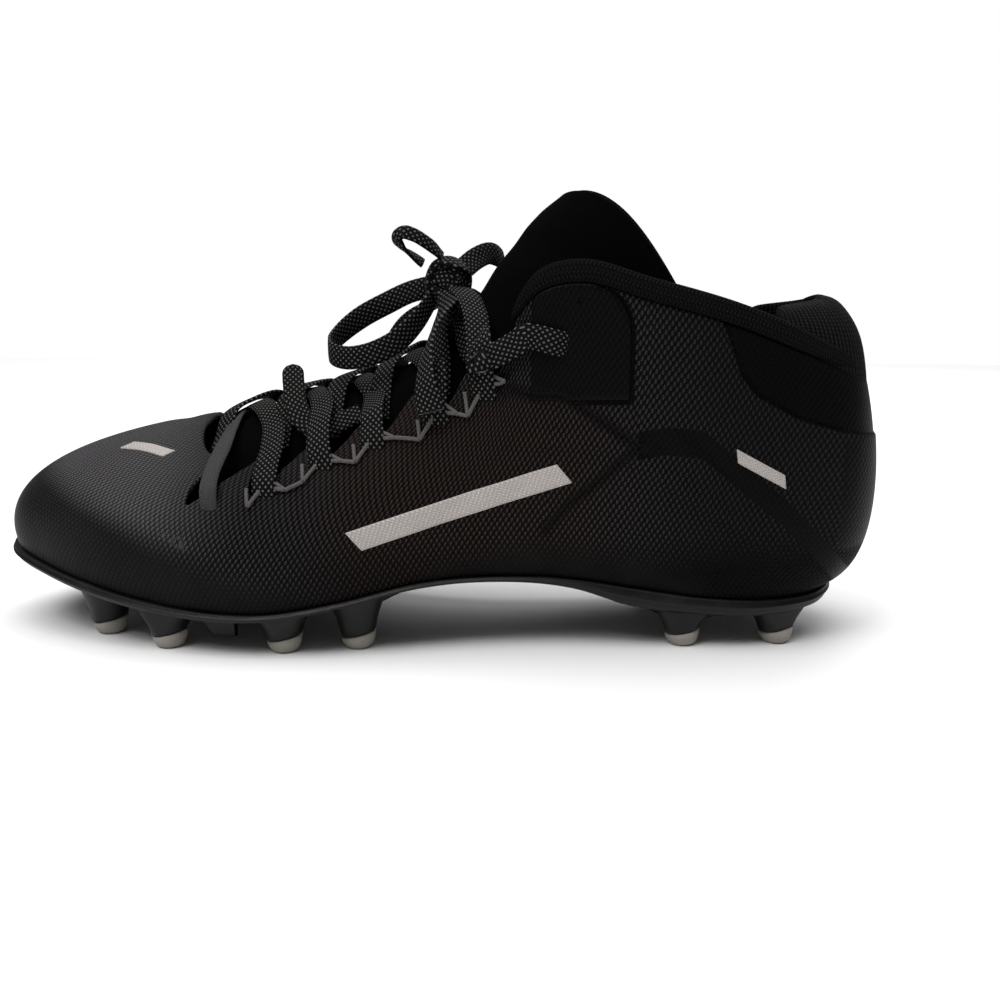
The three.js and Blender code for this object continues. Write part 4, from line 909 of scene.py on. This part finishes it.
def web(start, end, deep, flat=0, power=1.5):
    a, b = (np.array([along(s), y * HALF]) for s, y in (start, end))
    k = np.linspace(0, 1, 20)
    line = a + (b - a) * k[:, None]
    roof = above(low_share(start[0] + (end[0] - start[0]) * k))
    foot = roof - deep * MM * np.clip((1 - k) / (1 - flat), 0, 1) ** power - 0.05 * MM
    side = np.array([-(b - a)[1], (b - a)[0]]) / np.linalg.norm(b - a)
    rows = []
    for offset, share in ((-2.6, -0.15), (-1.7, 0.3), (-1.4, 0.8), (-0.8, 1), (0.8, 1), (1.4, 0.8), (1.7, 0.3),
                          (2.6, -0.15)):
        z = roof + (foot - roof) * share
        rows.append(np.concatenate([line + side * offset * MM, z[:, None]], 1))
    return grid(np.stack(rows, 1), None, (False, True))


def make_plate():
    parts = [plate_body()] + [stud_root(place) for place in STUDS.values()] + [web(*row) for row in WEBS]
    parts.append(web((0.699, -0.78), (0.738, -0.77), 6.0, flat=0.6, power=1))
    plastic = plastic_material("plate_plastic", (0.003, 0.0027, 0.0026), 0.42, worn=(0.010, 0.009, 0.008))
    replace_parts(piece("outsole", parts, plastic), "plate")


# Lace

LACE_WIDTH, LACE_THICK, BULGE = 7.6 * MM, 1.5 * MM, 2.8 * MM


def on_skin(u, v, lift):
    u, v = np.float64(u), np.float64(v)
    n = skin_normal(u, v)
    return np.concatenate([skin(u, v) + n * lift, n])


def on_tongue(s, k, lift):
    t = np.linspace(0, 1, 401)
    best = t[np.abs(tongue(t, k, 0)[:, 0] - along(s)).argmin()]
    step = 0.01
    ahead = tongue(min(best + step, 1), k, 0) - tongue(max(best - step, 0), k, 0)
    side = tongue(best, k + step, 0) - tongue(best, k - step, 0)
    n = unit(np.cross(ahead, side))
    return np.concatenate([tongue(best, k, 0) + n * lift, n])


def lace_strip(spots, width=LACE_WIDTH):
    line, _ = through(spots, 60)
    return tube(line[:, :3], unit(line[:, 3:]), width, LACE_THICK, 14)


def crossing(i, side):
    """From an eyelet up over the edge, then slanting across the tongue and under its other edge, nearer the toe."""
    s, v = EYELETS[i]
    toeward = EYELETS[i - 1][0] + (0.012 if i == 1 else 0)
    bulge = BULGE if i == 2 and side < 0 else 0
    crest = (2.4 if side < 0 else 4.4) * MM
    spots = [on_skin(u_at(s, v - 0.07, side), v - 0.07, -2.4 * MM), on_skin(u_at(s, v, side), v + 0.01, 0.9 * MM),
             on_skin(u_at(s, (1 + v) / 2, side), (1 + v) / 2, 1.8 * MM + bulge * 0.7),
             on_skin(u_at(s, 1, side), 1, 2.4 * MM + bulge)]
    for k in (0.5, 0.35, 0.2, 0, -0.25, -0.5, -0.72):
        lift = crest if abs(k) < 0.3 else 2.2 * MM
        lift = lift + bulge * ease(0.15, 0.5, k) if k > -0.5 else 1.1 * MM
        spots.append(on_tongue(s + (toeward - s) * ease(0.75, -0.5, k), k * side, lift))
    return lace_strip(spots)


def front_bar():
    s, v = EYELETS[0]
    spots = []
    for side in (-1, 1):
        half = [on_skin(u_at(s, v - 0.07, side), v - 0.07, -2.4 * MM), on_skin(u_at(s, v, side), v + 0.01, 0.9 * MM),
                on_skin(u_at(s, (1 + v) / 2, side), (1 + v) / 2, 1.8 * MM), on_skin(u_at(s, 1, side), 1, 2.4 * MM)]
        half += [on_tongue(s, k * side, 2.4 * MM) for k in (0.5, 0.25)]
        spots += half if side < 0 else half[::-1]
    return lace_strip(spots, 5.4 * MM)


def ankle_strip(side):
    """From the knot over the collar's front corner to the eyelet on the ankle panel."""
    s, v = ANKLE_EYELET
    spots = [on_tongue(0.462, 0.12 * side, 2.6 * MM), on_tongue(0.458, 0.35 * side, 2.6 * MM),
             on_tongue(0.447, 0.6 * side, 2.8 * MM)]
    for s_at, v_at, lift in ((0.425, 0.93, 3.0), (0.405, 0.90, 2.6), (0.385, 0.86, 2.0), (s, v, 1.4),
                             (s - 0.012, v - 0.01, -1.5)):
        spots.append(on_skin(u_at(s_at, v_at, side), v_at, lift * MM))
    return lace_strip(spots)


def rising_strand(side):
    """From the top eyelet over the edge and freely up to the knot."""
    s, v = EYELETS[-1]
    spots = [on_skin(u_at(s, v - 0.07, side), v - 0.07, -2.4 * MM), on_skin(u_at(s, v, side), v + 0.01, 1.4 * MM),
             on_skin(u_at(s, (1 + v) / 2, side), (1 + v) / 2, 3.2 * MM)]
    for x, y, z in ((17.5, -33.5, 94), (16.5, -27, 102), (14.5, -19, 108), (11, -10, 112.5), (7, -3, 114)):
        spots.append(np.concatenate([np.array([x, -side * y, z]) * MM, unit(np.array([0.15, -side * y / 26, 0.55]))]))
    return lace_strip(spots)


def make_laces():
    weave = lace_material()
    parts = [crossing(i, side) for i in range(1, len(EYELETS)) for side in (-1, 1)]
    parts += [make_side(side) for make_side in (ankle_strip, rising_strand) for side in (-1, 1)]
    made = piece("lace_over_tongue", parts, weave)
    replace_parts(made, "lace_crossings")
    # Painted light: the front bar is part of the same lace, given a paler cloth where the top light falls on it.
    painted_light_lace = cloth_material("lace_weave_painted_light", (0.024, 0.024, 0.025), (0.102, 0.1, 0.102), 0.0009)
    piece("lace_front_bar", [front_bar()], painted_light_lace)
    return weave


# Bow: the routes of the CAD's loops and ends, in millimetres.
KNOT, KNOT_SIZE = (5, -1, 115.6), (7.5, 7, 8.6)
BOW = {
    "lace_loop_outer": [
        (-0.6, 4.8, 114.6), (-9, 7, 112.5), (-17, 8, 108.8), (-25, 7, 104.5), (-31, 2, 99.5), (-34, -5, 95),
        (-32, -12, 92.5), (-26, -16.5, 91.5), (-18, -18.5, 93), (-10, -18, 97), (-4, -15, 103), (0.5, -10.2, 110)],
    "lace_loop_inner": [
        (9.5, 6.6, 120.4), (13.5, 12, 124), (18, 19, 126), (22, 26, 123.5), (22.5, 32, 118), (19, 37, 112),
        (13, 39, 107.5), (7, 37, 105), (3, 30.5, 105.5), (2, 22, 108.5), (2.5, 13.5, 112), (4.3, 6.7, 114.4)],
    "lace_ear": [
        (3.2, -2.8, 124), (1, -4.5, 126.3), (-2, -6.5, 128.6), (-5.5, -7.5, 130.6), (-9, -7.5, 131.4),
        (-11.2, -6.5, 130), (-10, -5, 127.2), (-6.8, -3.4, 124.6), (-3.2, -2, 121.8)],
    "lace_rise_outer": [
        (6.5, -8, 112.5), (6, -14, 108.5), (4, -20.5, 104), (2, -27.5, 98), (1, -34, 91), (1.5, -38.8, 84),
        (3.5, -41.4, 77)],
    "lace_end_outer": [
        (-21, -22.8, 74.8), (-25, -23.6, 72.8), (-30, -24.5, 70.4), (-35, -25, 69.4), (-39.5, -23.8, 72),
        (-42.5, -20.5, 76.5), (-44.5, -15, 82.5), (-46, -9.5, 88.5)],
    "lace_end_inner": [
        (0, 8.5, 109), (-6, 14.2, 106.4), (-12, 21.5, 102), (-17.5, 29, 94.5), (-21, 37, 85), (-23, 43.5, 75),
        (-24.5, 48.5, 65)],
}


def bow_faces(name, points):
    """Directions that the flat lace looks in: outward from its loop's middle, or up off the shoe."""
    if "ear" in name:
        turned = np.sin(np.linspace(0, np.pi, len(points)))[:, None] ** 2
        return unit(unit(points - points.mean(0)) + np.array([0, -1.1, 0]) * turned)
    if "loop" in name:
        middle = points.mean(0) * np.array([1, 1, 0])
        return unit(points - middle - points * np.array([0, 0, 1.0]))
    up = unit(points - np.stack([points[:, 0], 0 * points[:, 0], np.full(len(points), 0.45 * RISE)], -1))
    if "rise" not in name:
        return up
    turn = 1.1 * np.sin(np.linspace(0, np.pi, len(points)))[:, None]
    return up * np.cos(turn) + unit(np.cross(unit(np.gradient(points, axis=0)), up)) * np.sin(turn)


def make_bow(weave):
    for name, route in BOW.items():
        line, length = through(np.array(route) * MM, 90)
        width = LACE_WIDTH * {"lace_ear": 0.62, "lace_end_outer": 0.94}.get(name, 1)
        strand = tube(line, bow_faces(name, line), width, LACE_THICK, 14, round_end=0.8 if "end" in name else 0)
        made = piece(name.replace("lace", "bow"), [strand], weave)
        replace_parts(made, name)


def make_knot(weave):
    """Strands of lace that wrap round each other."""
    centre, size = np.array(KNOT) * MM, np.array(KNOT_SIZE) * MM
    parts = []
    turn = np.linspace(0, 2 * np.pi, 70)
    for tilt, lean, grow in ((0.3, 0.2, 0.88), (1.4, -0.3, 0.80), (2.4, 0.5, 0.72), (0.9, 1.2, 0.62), (2.0, -1.2, 0.5)):
        ring = np.stack([np.cos(turn), 0.25 * np.sin(3 * turn), np.sin(turn)], -1) * grow
        spin = Matrix.Rotation(tilt, 3, "Y") @ Matrix.Rotation(lean, 3, "Z") @ Matrix.Rotation(lean * 1.5, 3, "X")
        ring = ring @ np.array(spin).T * size
        parts.append(tube(centre + ring, unit(ring), 6.4 * MM, 2.2 * MM, 12))
    made = piece("bow_knot", parts, weave)
    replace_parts(made, "lace_knot")


# Thin cords at the eyelets: spots toward the heel and up from each eyelet, in millimetres.
CORD_SPOTS = [(-4.5, -7), (-5.5, 3), (0, 2.5), (7, -1.5), (2.5, 5)]


def make_eyelet_cords():
    """Two strokes and a crossed pair of thin cord round each eyelet, and a cord that joins them."""
    cord = cloth_material("thin_cord", (0.07, 0.066, 0.064), (0.17, 0.16, 0.155), 0.0008, rough=0.7)
    parts = []
    for side in (-1, 1):
        spots = []
        for s, v in EYELETS[1:]:
            raised = [v + up * MM / (0.72 * RISE) for _, up in CORD_SPOTS]
            spots.append([(u_at(s - back * MM / LENGTH, at, side), at) for (back, _), at in zip(CORD_SPOTS, raised)])
        lines = [(at[a], at[b]) for at in spots for a, b in ((0, 1), (0, 2), (2, 3), (4, 3))]
        lines += [(at[3], after[0]) for at, after in zip(spots[:-1], spots[1:])]
        for a, b in lines:
            places = np.array(a) + (np.array(b) - np.array(a)) * np.linspace(0, 1, 9)[:, None]
            line = np.array([on_skin(u, v, 0.9 * MM + relief(skin(u, v))) for u, v in places])
            parts.append(tube(line[:, :3], line[:, 3:], 1.25 * MM, 1.25 * MM, 8, 0))
    piece("eyelet_cords", parts, cord)


# Plain bars on the skin

def skin_uv(x, z, side):
    """The place on the skin whose x and z are given, on one side."""
    guess = np.linspace(0.02, 0.44, 400)
    guess = guess if side < 0 else 1 - guess
    at = skin(guess, 0 * guess + 0.5)[:, 0]
    order = np.argsort(at)
    u, v = np.interp(x, at[order], guess[order]), np.full(np.shape(x), 0.5)
    step = 1e-3
    for _ in range(8):
        p = skin(u, v)
        du, dv = (skin(u + step, v) - p) / step, (skin(u, v + step) - p) / step
        fx, fz = p[..., 0] - x, p[..., 2] - z
        scale = du[..., 0] * dv[..., 2] - dv[..., 0] * du[..., 2]
        u = u - (fx * dv[..., 2] - fz * dv[..., 0]) / scale
        v = np.clip(v - (fz * du[..., 0] - fx * du[..., 2]) / scale, 0, 1)
    return u, v


def raised_patch(u, v, thick):
    """A thin raised patch over a grid of places on the skin."""
    base, n = skin(u, v), skin_normal(u, v)
    base = base + n * relief(base)[..., None]
    top, low = base + n * thick, base - n * 0.3 * MM
    rows = [low[:1]] + [top] + [low[-1:]]
    ring = np.concatenate(rows, 0)
    ring = np.concatenate([ring, np.repeat(ring[:, -1:], 1, 1)], 1)
    ring[1:-1, 0], ring[1:-1, -1] = low[:, 0], low[:, -1]
    size = np.stack(np.meshgrid(np.arange(ring.shape[0]), np.arange(ring.shape[1]), indexing="ij"), -1) * 0.0008
    return grid(ring, size)


def make_marks():
    """Plain bars where the photo has marks: one on each side, one on the toe and a short one at the heel."""
    print_foil = foil_material()
    long_way, cross_way = np.meshgrid(np.linspace(0, 1, 90), np.linspace(-0.5, 0.5, 12), indexing="ij")
    for side, name in ((-1, "outer"), (1, "inner")):
        x = (-20 + 64 * long_way - 5 * cross_way) * MM
        z = (37.5 + 20.5 * long_way + 6 * cross_way) * MM
        piece(f"side_bar_{name}", [raised_patch(*skin_uv(x, z, side), 0.35 * MM)], print_foil)
    u = 0.4478 - 0.033 * long_way[::3] + 0.0015 * cross_way[::3]
    v = 0.735 + 0.13 * long_way[::3] + 0.055 * cross_way[::3]
    piece("toe_bar", [raised_patch(u, v, 0.3 * MM)], print_foil)
    x = (96.5 + 15.5 * long_way[::3] - 0.6 * cross_way[::3]) * MM
    z = (63.5 - 8.2 * long_way[::3] + 4.6 * cross_way[::3]) * MM
    piece("heel_bar", [raised_patch(*skin_uv(x, z, -1), 0.3 * MM)], print_foil)


# Stage, light and camera

def make_stage():
    bpy.ops.mesh.primitive_plane_add(size=3, location=(0, 0, 0))
    floor = bpy.context.object
    floor.name = "floor"
    paint, tree, shader = material("floor_paint", 0.7, 0.2)
    shade = mixed(tree, noise(tree, 0.25), (0.86, 0.86, 0.86), (0.9, 0.9, 0.9))
    set_inputs(tree, shader, shade)
    floor.data.materials.append(paint)
    bpy.context.scene.view_settings.view_transform = "Standard"
    world = bpy.data.worlds.new("studio")
    bpy.context.scene.world = world
    world.use_nodes = True
    tree = world.node_tree
    seen = node(tree, "ShaderNodeLightPath").outputs["Is Camera Ray"]
    background = tree.nodes["Background"]
    background.inputs["Color"].default_value = (1, 1, 1, 1)
    tree.links.new(calc(tree, "MULTIPLY_ADD", seen, 0.85, 0.15), background.inputs["Strength"])
    for name, kind, place, size, power in LAMPS:
        lamp = bpy.data.lights.new(name, kind)
        lamp.energy = power
        if kind == "SUN":
            lamp.angle = size
        else:
            lamp.size = size
        holder = bpy.data.objects.new(name, lamp)
        holder.location = place
        holder.rotation_euler = (Vector((0, 0, 0.05)) - Vector(place)).to_track_quat("-Z", "Y").to_euler()
        bpy.context.scene.collection.objects.link(holder)


# Lamps: name, kind, place, size (metres, or radians for the sun) and power (watts, or watts per square metre).
LAMPS = [
    ("overhead", "SUN", (-0.12, -0.10, 1.5), 1.1, 3.1),
    ("key", "AREA", (-0.5, -0.7, 1.1), 0.5, 5),
    ("rear", "AREA", (0.5, 0.9, 0.8), 0.7, 5),
]

CAMERA_MIDDLE, CAMERA_AWAY, CAMERA_HEIGHT = 22.5 * MM, 340 * MM, 110 * MM
CAMERA_TURN, CAMERA_DIP, CAMERA_ROLL = np.radians(2.5), np.radians(11.3), np.radians(0.25)


def make_camera():
    lens = bpy.data.cameras.new("camera")
    lens.sensor_width, lens.lens, lens.clip_start = 36, 36, 0.01
    camera = bpy.data.objects.new("camera", lens)
    a, p, r = CAMERA_TURN, CAMERA_DIP, CAMERA_ROLL
    look = Vector((-np.sin(a) * np.cos(p), np.cos(a) * np.cos(p), -np.sin(p)))
    right = Vector((np.cos(a), np.sin(a), 0))
    up = right.cross(look)
    turned, risen = right * np.cos(r) + up * np.sin(r), up * np.cos(r) - right * np.sin(r)
    place = (CAMERA_MIDDLE + CAMERA_AWAY * np.sin(a), -CAMERA_AWAY * np.cos(a), CAMERA_HEIGHT)
    columns = Matrix((turned, risen, -look)).transposed().to_4x4()
    camera.matrix_world = Matrix.Translation(place) @ columns
    bpy.context.scene.collection.objects.link(camera)
    bpy.context.scene.camera = camera


make_camera()
make_upper()
make_insole()
make_tongue()
make_collar()
make_tab()
make_plate()
make_caps()
lace_weave = make_laces()
make_knot(lace_weave)
make_bow(lace_weave)
make_eyelet_cords()
make_marks()
make_stage()
